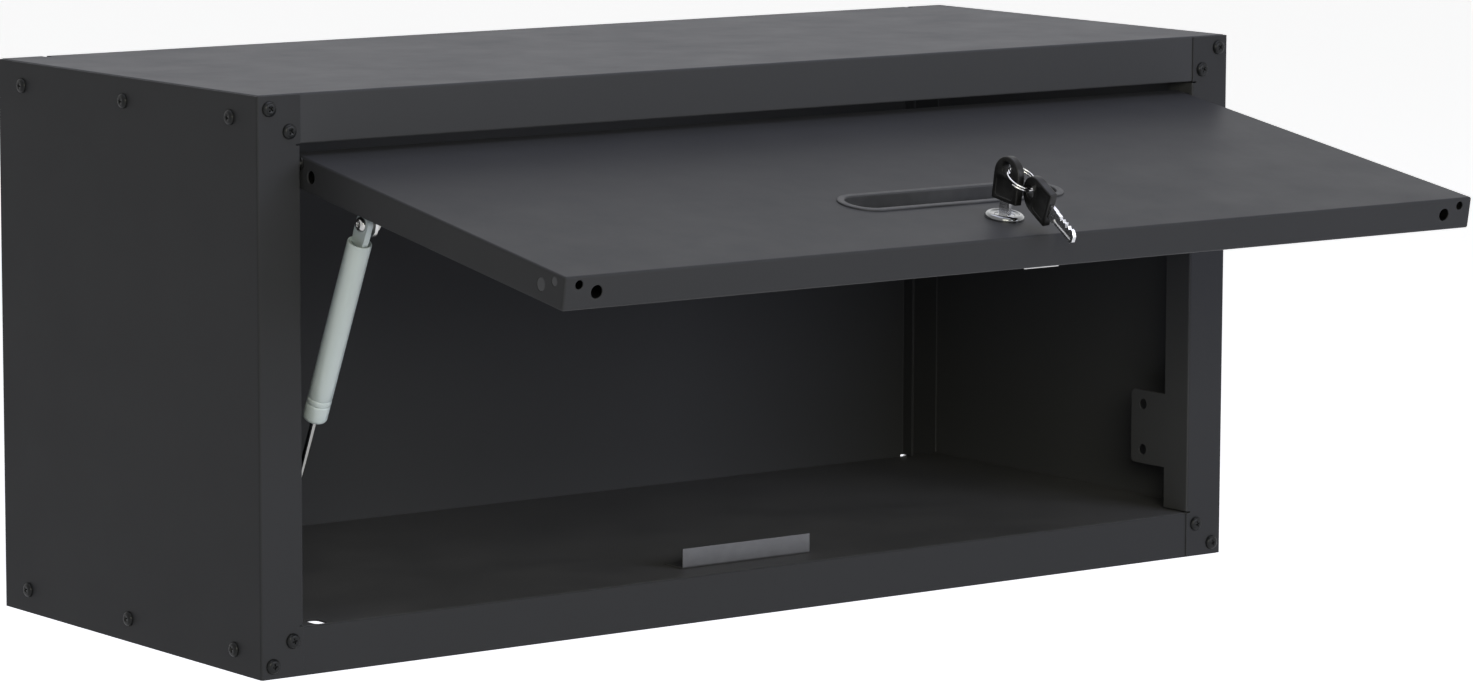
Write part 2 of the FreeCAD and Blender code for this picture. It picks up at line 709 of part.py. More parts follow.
def make_pan(label, low, is_floor):
    """The roof or the floor: a plate with flanges folded down all round."""
    piece = Piece(label)
    high = low + strip
    piece.pad("block", "XY", low, high, [rectangle(-pan_x, pan_front, pan_x, pan_rear, fold)])
    piece.round_edges("top_folds", fold, level_edges(high))
    piece.hollow("sheet", under_face(low))
    return_x = pan_x - gauge * 2
    piece.pad("front_return", "XY", low, low + gauge, [rectangle(
        -return_x, pan_front + gauge / 2, return_x, pan_front + cell("return_width"))])
    piece.round_edges("return_fold", gauge * 0.9, lambda edge: plane_edges_y(pan_front)(edge)
                      and level_edges(low)(edge) and edge.Length > return_x.number)
    # The rear flange stops beside the side panels' flanges, with relief notches
    which = "floor" if is_floor else "roof"
    flange_end = opening_x - cell(which + "_relief")
    trim_x = pan_x - fold
    trim_y = pan_rear - fold
    piece.cut("flange_ends", "XY", low - gauge, high - gauge, [
        rectangle(flange_end, trim_y, trim_x, back_y + gauge),
        rectangle(-trim_x, trim_y, -flange_end, back_y + gauge),
    ])
    notch_x = opening_x - cell(which + "_notch_width")
    notch_y = back_y - cell(which + "_notch_depth")
    piece.cut("relief_notches", "XY", low, high + gauge, [
        rectangle(notch_x, notch_y, opening_x, back_y + gauge),
        rectangle(-opening_x, notch_y, -notch_x, back_y + gauge),
    ])
    middle_z = low + strip / 2
    piece.cut("side_holes", "YZ", -side_x, side_x, [
        circle(y, middle_z, cell("screw_hole")) for y in screw_rows
    ])
    # The corner screws stand on a diagonal from each outer corner of the frame
    corner_z = [(low + inset if is_floor else high - inset) for inset in corner_insets]
    piece.cut("corner_holes", "XZ", front_y, pan_front + gauge * 2, [
        circle((side_x - inset) * hand, z, cell("screw_hole"))
        for inset, z in zip(corner_insets, corner_z) for hand in (-1, 1)
    ])
    piece.cut("rear_holes", "XZ", pan_rear - gauge * 2, back_y, [
        circle(x, middle_z, cell("rivet_radius")) for x in rivet_columns
    ])
    if is_floor:
        drain_x = cell("drain_side") - side_x
        drain_y = front_y + cell("drain_front")
        half_width = cell("drain_width") / 2
        half_length = cell("drain_length") / 2
        strike_y = front_y + cell("strike_back") + cell("strike_foot") / 2
        piece.cut("floor_holes", "XY", high - gauge * 2, high + gauge, [
            rectangle(drain_x - half_width, drain_y - half_length,
                      drain_x + half_width, drain_y + half_length, cell("drain_corner")),
            circle(-cell("strike_rivet_half"), strike_y, cell("rivet_radius")),
            circle(cell("strike_rivet_half"), strike_y, cell("rivet_radius")),
        ])
    return piece


def make_back_panel():
    """A flat back with a lip folded forward down each side."""
    piece = Piece("back_panel")
    edge_x = opening_x - cell("back_gap")
    inner_x = edge_x - gauge
    low = bottom_z + cell("back_margin")
    high = top_z - cell("back_margin")
    lip_y = back_y - cell("rear_lip")
    piece.pad("section", "XY", low, high, [outline([
        (-edge_x, back_y, fold),
        (-edge_x, lip_y),
        (-inner_x, lip_y),
        (-inner_x, back_y - gauge, inner_fold),
        (inner_x, back_y - gauge, inner_fold),
        (inner_x, lip_y),
        (edge_x, lip_y),
        (edge_x, back_y, fold),
    ])])
    relief_x = edge_x - cell("relief")
    corners = []
    ends = []
    for hand in (-1, 1):
        x_low, x_high = ordered(relief_x * hand, (edge_x + gauge) * hand)
        corners.append(rectangle(x_low, low - gauge, x_high, lip_low))
        corners.append(rectangle(x_low, lip_high, x_high, high + gauge))
        x_low, x_high = ordered(relief_x * hand, edge_x * hand)
        ends.append(rectangle(x_low, low, x_high, floor_z - cell("relief")))
        ends.append(rectangle(x_low, header_z + cell("relief"), x_high, high))
    piece.cut("lip_ends", "XZ", lip_y - gauge, back_y + gauge, corners)
    piece.pad("plate_ends", "XZ", back_y - gauge, back_y, ends)
    piece.cut("wall_holes", "XZ", back_y - gauge * 2, back_y + gauge, [
        circle(cell("wall_hole_half_x") * hand, 0, cell("wall_hole_radius")) for hand in (-1, 1)
    ])
    piece.cut("rivet_holes", "XZ", back_y - gauge * 2, back_y + gauge, [
        circle(x, z, cell("rivet_radius")) for x in rivet_columns for z in side_screw_heights
    ])
    return piece


def head_edges(axis, value, test_radius):
    """A test for the round outer edge of screw heads on one plane."""
    def wanted(edge):
        box = edge.BoundBox
        low, high = {"x": (box.XMin, box.XMax), "y": (box.YMin, box.YMax), "z": (box.ZMin, box.ZMax)}[axis]
        is_flat = close(low, value) and close(high, value)
        return is_flat and abs(edge.Length - 2 * math.pi * test_radius.number) < 1e-3
    return wanted


def make_screws(label, plane, face, outwards, points, reach):
    """Pan-head screws with a cross recess, their heads on one plane."""
    piece = Piece(label)
    axis = {"YZ": "x", "XZ": "y", "XY": "z"}[plane]
    outer = face + cell("head_height") * outwards
    piece.pad("heads", plane, face, outer, [circle(x, y, cell("head_radius")) for x, y in points])
    piece.round_edges("domes", cell("head_round"), head_edges(axis, outer, cell("head_radius")))
    piece.cut("crosses", plane, outer, outer - cell("cross_depth") * outwards, [
        cross(x, y) for x, y in points
    ])
    piece.pad("shanks", plane, face + cell("cross_depth") * outwards * 0.25, face - reach * outwards, [
        circle(x, y, cell("screw_radius")) for x, y in points
    ])
    return piece


def make_nuts(label, plane, first, second, points, radius, bore):
    piece = Piece(label)
    piece.pad("hexagons", plane, first, second, [hexagon(x, y, radius) for x, y in points])
    piece.cut("bores", plane, first, second, [circle(x, y, bore) for x, y in points])
    return piece


make_side_panel("left_side_panel", -1)
make_side_panel("right_side_panel", 1)
make_pan("top_panel", header_z, is_floor=False)
make_pan("bottom_panel", bottom_z, is_floor=True)
make_back_panel()

corner_points = [
    ((side_x - inset) * across, z)
    for inset in corner_insets for across in (-1, 1) for z in (bottom_z + inset, top_z - inset)
]
make_screws("front_corner_screws", "XZ", front_y, -1, corner_points, cell("screw_reach"))
corner_nut_y = front_y + gauge * 2
make_nuts("front_corner_nuts", "XZ", corner_nut_y, corner_nut_y + cell("nut_height"), corner_points,
          cell("nut_radius"), cell("screw_hole"))

side_points = [(y, z) for y in screw_rows for z in side_screw_heights]
side_screws = make_screws("side_screws", "YZ", side_x, 1, side_points, cell("screw_reach"))
side_screws.mirror("other_side")
side_nut_x = side_x - gauge * 2
side_nuts = make_nuts("side_nuts", "YZ", side_nut_x, side_nut_x - cell("nut_height"), side_points,
                      cell("nut_radius"), cell("screw_hole"))
side_nuts.mirror("other_side")


def make_back_rivets():
    """Rivets through the back panel and the pans' rear flanges, flush outside."""
    piece = Piece("back_panel_rivets")
    points = [(x, z) for x in rivet_columns for z in side_screw_heights]
    inner_y = back_y - gauge * 2
    piece.pad("shanks", "XZ", inner_y - cell("rivet_head_height") * 0.5, back_y, [
        circle(x, z, cell("rivet_radius")) for x, z in points
    ])
    head_y = inner_y - cell("rivet_head_height")
    piece.pad("heads", "XZ", head_y, inner_y, [circle(x, z, cell("rivet_head")) for x, z in points])
    piece.round_edges("domes", cell("rivet_head_height") * 0.8, head_edges("y", head_y, cell("rivet_head")))
    return piece


make_back_rivets()


def make_hinge_pins():
    """A shouldered pin riveted into each stile's return."""
    piece = Piece("hinge_pins")
    rivet_face = opening_x + gauge
    piece.pad("shanks", "YZ", door_half - cell("bush_length"), rivet_face, [
        circle(hinge_y, hinge_z, cell("pin_radius"))
    ])
    piece.pad("heads", "YZ", rivet_face, rivet_face + gauge * 1.5, [
        circle(hinge_y, hinge_z, cell("pin_radius") * 1.3)
    ])
    piece.mirror("other_side")
    return piece


make_hinge_pins()


def make_strike_plate():
    """An upright with two feet on the floor; the lock's cam turns down behind it, between the feet."""
    piece = Piece("strike_plate")
    back = front_y + cell("strike_back")
    foot_y = back + cell("strike_foot")
    rise_z = floor_z + cell("strike_height")
    gap = cell("strike_gap_half")
    piece.pad("angle", "YZ", -cell("strike_half"), cell("strike_half"), [outline([
        (foot_y, floor_z),
        (foot_y, floor_z + gauge),
        (back, floor_z + gauge, inner_fold),
        (back, rise_z),
        (back - gauge, rise_z),
        (back - gauge, floor_z, fold),
    ])])
    piece.cut("cam_gap", "XY", floor_z - gauge, floor_z + gauge * 3, [rectangle(-gap, back, gap, foot_y + gauge)])
    rivet_y = (foot_y + back) / 2
    piece.cut("rivet_holes", "XY", floor_z - gauge, floor_z + gauge * 2, [
        circle(cell("strike_rivet_half") * hand, rivet_y, cell("rivet_radius")) for hand in (-1, 1)
    ])
    rivets = Piece("strike_rivets")
    points = [(cell("strike_rivet_half") * hand, rivet_y) for hand in (-1, 1)]
    face = floor_z + gauge
    crown = face + cell("strike_rivet_dome")
    rivets.pad("shanks", "XY", floor_z - gauge * 2, face, [circle(x, y, cell("rivet_radius")) for x, y in points])
    rivets.pad("heads", "XY", face, crown, [circle(x, y, cell("strike_rivet_head")) for x, y in points])
    rivets.round_edges("domes", cell("strike_rivet_dome") * 0.8,
                       head_edges("z", crown, cell("strike_rivet_head")))
    tail_z = floor_z - gauge
    rivets.pad("tails", "XY", tail_z, tail_z - gauge, [
        circle(x, y, cell("strike_rivet_head") * 0.9) for x, y in points
    ])
    return piece


make_strike_plate()


def make_lower_plate():
    """The strut's lower plate on the left tab, its two screws and their nuts."""
    face_x = -opening_x
    inner_x = face_x + cell("plate_thickness")
    plate = Piece("strut_lower_plate")
    margin = gauge * 1.5
    tab_front = front_y + cell("stile_lip")
    tab_low = floor_z + cell("tab_rise")
    plate.pad("plate", "YZ", face_x, inner_x, [rectangle(
        tab_front, tab_low + margin, tab_front + cell("tab_depth") - margin,
        tab_low + cell("tab_height") - margin, cell("tab_corner") * 0.75)])
    points = [(front_y + cell("tab_hole_depth"), z) for z in tab_hole_heights]
    plate.cut("holes", "YZ", face_x - gauge, inner_x + gauge, [
        circle(y, z, cell("screw_hole")) for y, z in points
    ])
    plate.bevel_edges("countersinks", cell("countersink"), head_edges("x", inner_x, cell("screw_hole")))
    # Flat heads, so that the ball stud's collar can pass over them
    screws = Piece("strut_plate_screws")
    sunk = cell("countersink")
    head = cell("screw_radius") + sunk
    screws.pad("heads", "YZ", inner_x - sunk, inner_x, [circle(y, z, head) for y, z in points])
    screws.bevel_edges("cones", sunk * 0.98, head_edges("x", inner_x - sunk, head))
    screws.cut("crosses", "YZ", inner_x, inner_x - cell("cross_depth"), [cross(y, z) for y, z in points])
    screws.pad("shanks", "YZ", inner_x - sunk, inner_x - cell("screw_reach"), [
        circle(y, z, cell("screw_radius")) for y, z in points
    ])
    nut_x = face_x - gauge
    make_nuts("strut_plate_nuts", "YZ", nut_x, nut_x - cell("nut_height"), points,
              cell("nut_radius"), cell("screw_hole"))


make_lower_plate()


# The door


def make_door_outer_pan():
    """The door's skin with four flanges and a return round the inside."""
    piece = Piece("door_outer_pan")
    hang(piece.body)
    piece.pad("block", "XY", door_under, door_top, [rectangle(-door_half, door_free, door_half, door_rear, fold)])
    piece.round_edges("skin_folds", fold, level_edges(door_top))
    piece.hollow("sheet", under_face(door_under))
    overlap = gauge / 2
    width = cell("return_width")
    piece.pad("returns", "XY", door_under, door_under + gauge, [
        rectangle(-door_half + overlap, door_free + overlap, door_half - overlap, door_rear - overlap),
        rectangle(-door_half + width, door_free + width, door_half - width, door_rear - width),
    ])
    outer = door_half.number - fold.number - 0.01
    free = door_free.number + fold.number + 0.01
    rear = door_rear.number - fold.number - 0.01

    def return_edge(edge):
        box = edge.BoundBox
        outside = box.XMax > outer or box.XMin < -outer or box.YMax > rear or box.YMin < free
        return level_edges(door_under)(edge) and outside
    piece.round_edges("return_folds", fold, return_edge)
    piece.cut("cup_hole", "XY", door_top - gauge * 2, door_top + gauge, [
        slot(-cup_bowl_half, cup_bowl_half, cup_y, cell("cup_bowl_radius") + 0.1)
    ])
    piece.cut("lock_hole", "XY", door_top - gauge * 2, door_top + gauge, [
        circle(0, lock_y, cell("barrel_radius") + 0.1)
    ])
    large_z = door_top - cell("large_hole_depth")
    small_z = door_top - cell("small_hole_depth")
    large = cell("large_hole_radius")
    small = cell("small_hole_radius")
    piece.cut("side_flange_holes", "YZ", -door_half - gauge, door_half + gauge, [
        circle(0, 0, cell("bush_radius") + 0.05),
        circle(door_rear - cell("large_hole_inset"), large_z, large),
        circle(door_free + cell("large_hole_inset"), large_z, large),
        circle(door_free + cell("small_hole_inset"), small_z, small),
    ])
    piece.cut("free_flange_holes", "XZ", door_free - gauge, door_free + gauge * 2, [
        circle((door_half - inset) * hand, z, radius)
        for inset, z, radius in (
            (cell("large_hole_inset"), large_z, large), (cell("small_hole_inset"), small_z, small))
        for hand in (-1, 1)
    ])
    return piece


cup_bowl_half = cell("cup_half") - cell("cup_lip_radius") + cell("cup_bowl_radius")
make_door_outer_pan()


def make_hole_plugs():
    """Caps that close the unused holes near the free edge of the side flanges."""
    piece = Piece("flange_hole_plugs")
    hang(piece.body)
    places = (
        (door_free + cell("large_hole_inset"), door_top - cell("large_hole_depth"), cell("large_hole_radius")),
        (door_free + cell("small_hole_inset"), door_top - cell("small_hole_depth"), cell("small_hole_radius")),
    )
    face = door_half - gauge * 0.15
    piece.pad("caps", "YZ", face, door_half - gauge * 3, [circle(y, z, radius - 0.05) for y, z, radius in places])
    piece.pad("rims", "YZ", door_half - gauge, door_half - gauge * 2, [
        circle(y, z, radius + 0.6) for y, z, radius in places
    ])
    piece.mirror("other_side")
    return piece


make_hole_plugs()


def make_door_inner_panel():
    """The flat sheet that the door's returns hold."""
    piece = Piece("door_inner_panel")
    hang(piece.body)
    inset = gauge + cell("panel_gap")
    piece.pad("sheet", "XY", panel_top - gauge, panel_top, [rectangle(
        -door_half + inset, door_free + inset, door_half - inset, door_rear - inset, fold)])
    piece.cut("lock_hole", "XY", panel_top - gauge * 2, panel_top + gauge, [
        circle(0, lock_y, cell("lock_nut_radius") + 2)
    ])
    piece.cut("bracket_holes", "XY", panel_top - gauge * 2, panel_top + gauge, [
        circle(x, y, cell("rivet_radius")) for x, y in bracket_rivets
    ])
    return piece


ear_x = strut_x + cell("eye_thickness") / 2 + cell("ear_gap")
foot_length = cell("return_width") * 1.5
bracket_half = cell("eye_radius") + 1.2
bracket_rivets = [
    (ear_x + foot_length * 0.6, pivot_y - bracket_half * 0.6),
    (ear_x + foot_length * 0.6, pivot_y + bracket_half * 0.6),
]
make_door_inner_panel()


def make_stiffener():
    """A hat section across the door, between the skin and the inner panel."""
    piece = Piece("door_stiffener")
    hang(piece.body)
    middle = door_free + cell("hat_place")
    web = cell("hat_web") / 2
    foot = web + cell("hat_foot")
    high = door_top - gauge
    low = panel_top
    piece.pad("hat", "YZ", -cell("hat_half"), cell("hat_half"), [outline([
        (middle - foot, low),
        (middle - web, low, inner_fold),
        (middle - web, high - gauge, inner_fold),
        (middle + web, high - gauge, inner_fold),
        (middle + web, low, inner_fold),
        (middle + foot, low),
        (middle + foot, low + gauge),
        (middle + web + gauge, low + gauge, inner_fold),
        (middle + web + gauge, high, fold),
        (middle - web - gauge, high, fold),
        (middle - web - gauge, low + gauge, inner_fold),
        (middle - foot, low + gauge),
    ])])
    return piece


make_stiffener()


def make_bushings():
    """A flanged bushing in each of the door's side flanges."""
    piece = Piece("hinge_bushings")
    hang(piece.body)
    piece.pad("barrels", "YZ", door_half - cell("bush_length"), door_half, [circle(0, 0, cell("bush_radius"))])
    piece.pad("flanges", "YZ", door_half, door_half + gauge * 1.2, [circle(0, 0, cell("bush_flange"))])
    piece.cut("bores", "YZ", door_half - cell("bush_length"), door_half + gauge * 1.2, [
        circle(0, 0, cell("pin_bore"))
    ])
    piece.mirror("other_side")
    return piece


make_bushings()


def make_pull_cup():
    """An obround finger recess let into the door, with a thin raised lip."""
    piece = Piece("pull_cup")
    hang(piece.body, 0, cup_y, door_top)
    lip_top = cell("cup_lip_height")
    wall = cell("cup_wall")
    bowl = cell("cup_bowl_radius")
    piece.pad("lip", "XY", 0, lip_top, [slot(-cell("cup_half"), cell("cup_half"), 0, cell("cup_lip_radius"))])
    piece.round_edges("lip_edge", lip_top * 0.75, level_edges(lip_top))
    piece.pad("bowl", "XY", -cell("cup_depth"), lip_top * 0.5, [slot(-cup_bowl_half, cup_bowl_half, 0, bowl)])
    piece.cut("recess", "XY", -cell("cup_depth") + wall, lip_top + gauge, [
        slot(-cup_bowl_half + wall, cup_bowl_half - wall, 0, bowl - wall)
    ])
    piece.round_edges("recess_edge", bowl * 0.25, level_edges(-cell("cup_depth") + wall))
    piece.round_edges("bowl_edge", bowl * 0.3, level_edges(-cell("cup_depth")))
    return piece


make_pull_cup()


# The lock, in a frame with its origin on the door's face and z out of it


def make_lock():
    """Cam lock: housing with a chrome bezel, nut, turning plug, cam and screw."""
    bezel = cell("bezel_radius")
    rise = cell("bezel_height")
    barrel = cell("barrel_radius")
    depth = -cell("barrel_depth")
    housing = Piece("lock_housing")
    hang(housing.body, 0, lock_y, door_top)
    housing.revolve("section", [outline([
        (cell("plug_bore"), depth),
        (barrel, depth),
        (barrel, 0),
        (bezel, 0),
        (bezel, rise * 0.4),
        (bezel - rise * 0.6, rise),
        (barrel + 0.4, rise),
        (barrel - 0.6, rise * 0.7),
        (cell("plug_bore"), rise * 0.7),
    ])])
    nut = Piece("lock_nut")
    hang(nut.body, 0, lock_y, door_top)
    nut.pad("hexagon", "XY", -gauge - cell("nut_height"), -gauge, [hexagon(0, 0, cell("lock_nut_radius"))])
    nut.cut("bore", "XY", -gauge - cell("nut_height"), -gauge, [circle(0, 0, barrel + 0.05)])

    plug = Piece("lock_plug")
    hang(plug.body, 0, lock_y, door_top)
    plug_end = -cell("plug_depth")
    tail_end = plug_end - cell("cam_thickness") + 0.2
    plug.revolve("section", [outline([
        (0, plug_end),
        (barrel - 1, plug_end),
        (barrel - 1, depth - 0.3),
        (cell("plug_radius"), depth - 0.3),
        (cell("plug_radius"), rise * 0.6),
        (0, rise * 0.6),
    ])])
    half_tail = cell("tail_side") / 2
    plug.pad("tail", "XY", tail_end, plug_end, [rectangle(-half_tail, -half_tail, half_tail, half_tail)])
    half_way = cell("keyway_width") / 2
    half_high = cell("keyway_height") / 2
    keyway_end = key_tip - 0.5
    plug.cut("keyway", "XY", keyway_end, rise, [rectangle(-half_way, -half_high, half_way, half_high)])
    plug.cut("screw_hole", "XY", tail_end, plug_end + half_tail, [circle(0, 0, cam_screw_radius + 0.1)])

    cam = Piece("lock_cam")
    hang(cam.body, 0, lock_y, door_top)
    cam_low = plug_end - cell("cam_thickness")
    width = cell("cam_radius")
    reach = cell("cam_reach")
    crank = cell("cam_crank")
    crank_start = width
    crank_end = width + crank * 1.5
    cam.pad("profile", "XZ", -width, width, [outline([
        (-width, plug_end),
        (-width, cam_low),
        (crank_start, cam_low),
        (crank_end, cam_low - crank),
        (reach, cam_low - crank),
        (reach, plug_end - crank),
        (crank_end, plug_end - crank),
        (crank_start, plug_end),
    ])])
    cam.cut("tip_corners", "XY", cam_low - crank - gauge, plug_end + gauge, [
        outline([(reach - crank, width), (reach + gauge, width * 0.5), (reach + gauge, width + gauge),
                 (reach - crank, width + gauge)]),
        outline([(reach - crank, -width), (reach - crank, -width - gauge), (reach + gauge, -width - gauge),
                 (reach + gauge, -width * 0.5)]),
    ])
    side = half_tail + 0.05
    cam.cut("square_hole", "XY", cam_low, plug_end, [rectangle(-side, -side, side, side)])
    cam.round_edges("edges", gauge * 0.4, lambda edge: level_edges(cam_low - crank)(edge)
                    and edge.Length > width.number)

    screw = Piece("cam_screw")
    hang(screw.body, 0, lock_y, door_top)
    screw.pad("washer", "XY", cam_low - gauge, cam_low, [circle(0, 0, cell("tail_side"))])
    screw.pad("head", "XY", cam_low - gauge - cell("head_height"), cam_low - gauge, [hexagon(0, 0, cell("nut_radius"))])
    screw.pad("shank", "XY", cam_low, plug_end + half_tail - 0.5, [circle(0, 0, cam_screw_radius)])


key_tip = cell("key_clear") - cell("blade_length")
cam_screw_radius = cell("rivet_radius")
make_lock()


# A key: x is its thickness, y its width, z from its tip up to its bow;
# the origin is the lock's axis at the door's face when the key is in


KEY_CUT_DEPTHS = (1.3, 2.1, 0.9, 1.7)


def key_outline():
    """The blade's edge with its cuts, and the tang that the bow holds."""
    half = cell("key_blade_width") / 2
    shoulder = cell("key_shoulder") / 2
    shoulder_z = cell("key_clear") - cell("bezel_height") * 2
    tang_z = cell("key_clear") + cell("bow_height") * 0.4
    bevel = cell("key_tip_bevel")
    corner = cell("key_tip_corner")
    pitch = cell("key_cut_pitch")
    points = [
        (-half + corner, key_tip),
        (half - bevel, key_tip),
        (half, key_tip + bevel),
    ]
    # Each cut slopes down, runs flat and slopes up again within its pitch
    for number, depth in enumerate(KEY_CUT_DEPTHS):
        start = key_tip + cell("key_first_cut") + pitch * number
        points.append((half, start))
        points.append((half - depth, start + pitch * 0.35))
        points.append((half - depth, start + pitch * 0.55))
        points.append((half, start + pitch * 0.9))
    points += [
        (half, shoulder_z),
        (shoulder, shoulder_z),
        (shoulder, tang_z),
        (-shoulder, tang_z),
        (-shoulder, shoulder_z),
        (-half, shoulder_z),
        (-half, key_tip + corner),
    ]
    return outline(points)


def make_key(prefix):
    """A key: a cut metal blade in a moulded bow with a ring hole."""
    half = cell("key_blade_thickness") / 2
    blade = Piece(prefix + "_blade")
    blade.pad("blade", "YZ", -half, half, [key_outline()])
    groove_z = cell("key_clear") - cell("bezel_height") * 2
    groove_start = key_tip + cell("key_tip_bevel")
    blade.cut("groove", "YZ", half, half - cell("key_groove_depth"), [
        rectangle(-cell("key_blade_width") * 0.28, groove_start, -cell("key_blade_width") * 0.08, groove_z)
    ])
    bow = Piece(prefix + "_bow")
    half_bow = cell("bow_thickness") / 2
    width = cell("bow_width") / 2
    low = cell("key_clear")
    high = low + cell("bow_height")
    bow.pad("bow", "YZ", -half_bow, half_bow, [outline([
        (-width, low, gauge),
        (width, low, gauge),
        (width, high, width - 0.1),
        (-width, high, width - 0.1),
    ])])
    bow.round_edges("rounding", gauge * 0.9, lambda edge: plane_edges_x(half_bow)(edge)
                    or plane_edges_x(-half_bow)(edge))
    bow.cut("ring_hole", "YZ", -half_bow, half_bow, [
        circle(0, high - cell("bow_hole_drop"), cell("bow_hole_radius"))
    ])
    slot_y = cell("key_shoulder") / 2 + 0.05
    slot_x = half + 0.05
    slot_z = low + cell("bow_height") * 0.4 + 0.05
    bow.cut("blade_slot", "XY", low - gauge, slot_z, [rectangle(-slot_x, -slot_y, slot_x, slot_y)])
    return blade, bow


for piece in make_key("key"):
    hang(piece.body, 0, lock_y, door_top)
spare_pieces = make_key("spare_key")


# The lock's frame as numbers, for the pieces that hang askew
def lock_frame():
    base = FreeCAD.Vector(*[size.number for size in door_place(0, lock_y, door_top)])
    return FreeCAD.Placement(base, FreeCAD.Rotation(FreeCAD.Vector(1, 0, 0), droop.number))


# The split ring, its middle and its normal, in the lock's frame
RING_MIDDLE = FreeCAD.Vector(2.7, 8.6, 26.2)
RING_NORMAL = FreeCAD.Vector(0.066, 0.474, 0.878)
RING_START_ANGLE = 200
# The spare key's ring hole in the lock's frame, and where its width and its
# blade point
SPARE_HOLE = FreeCAD.Vector(5.3, 17.3, 20.7)
SPARE_WIDTH = FreeCAD.Vector(-0.142, 0.349, 0.926)
SPARE_POINT = FreeCAD.Vector(-0.062, 0.931, -0.360)


def frame_from(origin, x_axis, z_axis):
    """A placement whose x and z axes point the given ways."""
    x_axis = FreeCAD.Vector(x_axis).normalize()
    z_axis = FreeCAD.Vector(z_axis).normalize()
    y_axis = z_axis.cross(x_axis).normalize()
    return FreeCAD.Placement(origin, FreeCAD.Rotation(x_axis, y_axis, z_axis, "ZXY"))


# In the lock's frame u, towards the free edge, is minus y
def from_lock(vector):
    return FreeCAD.Vector(vector.x, -vector.y, vector.z)


def arc_pair(start, start_way, end, end_way):
    """Two arcs that join tangentially and meet both ends along their ways."""
    chord = end - start
    ways = start_way + end_way
    gap = 2 * (1 - start_way.dot(end_way))
    along = chord.dot(ways)
    reach = (-along + math.sqrt(along * along + gap * chord.dot(chord))) / gap
    first_corner = start + start_way * reach
    last_corner = end - end_way * reach
    joint = (first_corner + last_corner) / 2
    arcs = []
    for low, corner, high in ((start, first_corner, joint), (joint, last_corner, end)):
        middle = (low + high) / 2
        to_middle = middle - corner
        tangent = (low - corner).Length
        half_chord = (high - low).Length / 2
        # The arc's centre lies beyond the chord's middle, seen from the corner
        to_centre = tangent * tangent / to_middle.Length
        radius = tangent * half_chord / to_middle.Length
        crown = corner + to_middle * ((to_centre - radius) / to_middle.Length)
        arcs.append(Part.Arc(low, crown, high).toShape())
    return arcs


def make_key_ring():
    """The split ring: one unbroken wire in two close turns."""
    radius = cell("ring_radius").number
    wire = cell("ring_wire").number
    pitch = cell("ring_pitch").number
    turns = cell("ring_turns").number
    steps = 8
    slope = pitch / (2 * math.pi)

    def point(angle):
        height = slope * angle - pitch * turns / 2
        return FreeCAD.Vector(radius * math.cos(angle), radius * math.sin(angle), height)

    def way(angle):
        return FreeCAD.Vector(-radius * math.sin(angle), radius * math.cos(angle), slope).normalize()
    total = 2 * math.pi * turns
    edges = []
    for step in range(steps):
        low = total * step / steps
        high = total * (step + 1) / steps
        edges += arc_pair(point(low), way(low), point(high), way(high))
    path = Part.Wire(edges)
    profile = Part.Wire([Part.makeCircle(wire, point(0), way(0))])
    tube = path.makePipeShell([profile], True, False)
    ring = doc.addObject("Part::Feature", "key_ring")
    ring.Label = "key_ring"
    ring.Shape = tube
    normal = from_lock(RING_NORMAL)
    turn = FreeCAD.Placement(FreeCAD.Vector(), FreeCAD.Rotation(FreeCAD.Vector(0, 0, 1), RING_START_ANGLE))
    local = frame_from(from_lock(RING_MIDDLE), FreeCAD.Vector(1, 0, 0) - normal * normal.x, normal)
    ring.Placement = lock_frame() * local * turn
    samples = 240
    places = [point(total * index / samples) for index in range(samples + 1)]
    one_turn = round(samples / turns)
    near = [
        (places[index] - places[other]).Length
        for index in range(samples + 1) for other in range(index + one_turn // 2, samples + 1)
    ]
    print("split ring: least gap between turns", round(min(near) - 2 * wire, 3), "mm; wire length",
          round(path.Length, 1), "mm; volume over section times length",
          round(tube.Volume / (math.pi * wire * wire * path.Length), 4))
    return ring


make_key_ring()


def place_spare_key():
    """Hang the spare key on the ring, leaning out over the door's free edge."""
    width = from_lock(SPARE_WIDTH)
    point = from_lock(SPARE_POINT)
    up = point * -1
    x_axis = width.cross(up)
    x_axis.normalize()
    hole_z = (cell("key_clear") + cell("bow_height") - cell("bow_hole_drop")).number
    local = frame_from(FreeCAD.Vector(), x_axis, up)
    hole = local.Rotation.multVec(FreeCAD.Vector(0, 0, hole_z))
    local.Base = from_lock(SPARE_HOLE) - hole
    for piece in spare_pieces:
        piece.body.Placement = lock_frame() * local


place_spare_key()


# The gas strut, in a frame with its origin on the upper pivot and z towards
# it from the lower pivot

stud_y = front_y + cell("stud_depth")
stud_z = floor_z + cell("stud_rise")
upper = door_place(strut_x, pivot_y, pivot_z)
STRUT_DY = stud_y.number - upper[1].number
STRUT_DZ = stud_z.number - upper[2].number
STRUT_LENGTH = math.hypot(STRUT_DY, STRUT_DZ)
STRUT_LEAN = math.degrees(math.atan2(STRUT_DY, -STRUT_DZ))


def lean(body):
    """Put a strut piece on the upper pivot, pointing down at the lower one."""
    body.Placement = FreeCAD.Placement(FreeCAD.Vector(), FreeCAD.Rotation(FreeCAD.Vector(1, 0, 0), STRUT_LEAN))
    for axis, size in zip("xyz", upper):
        bind(body, f"Placement.Base.{axis}", size)


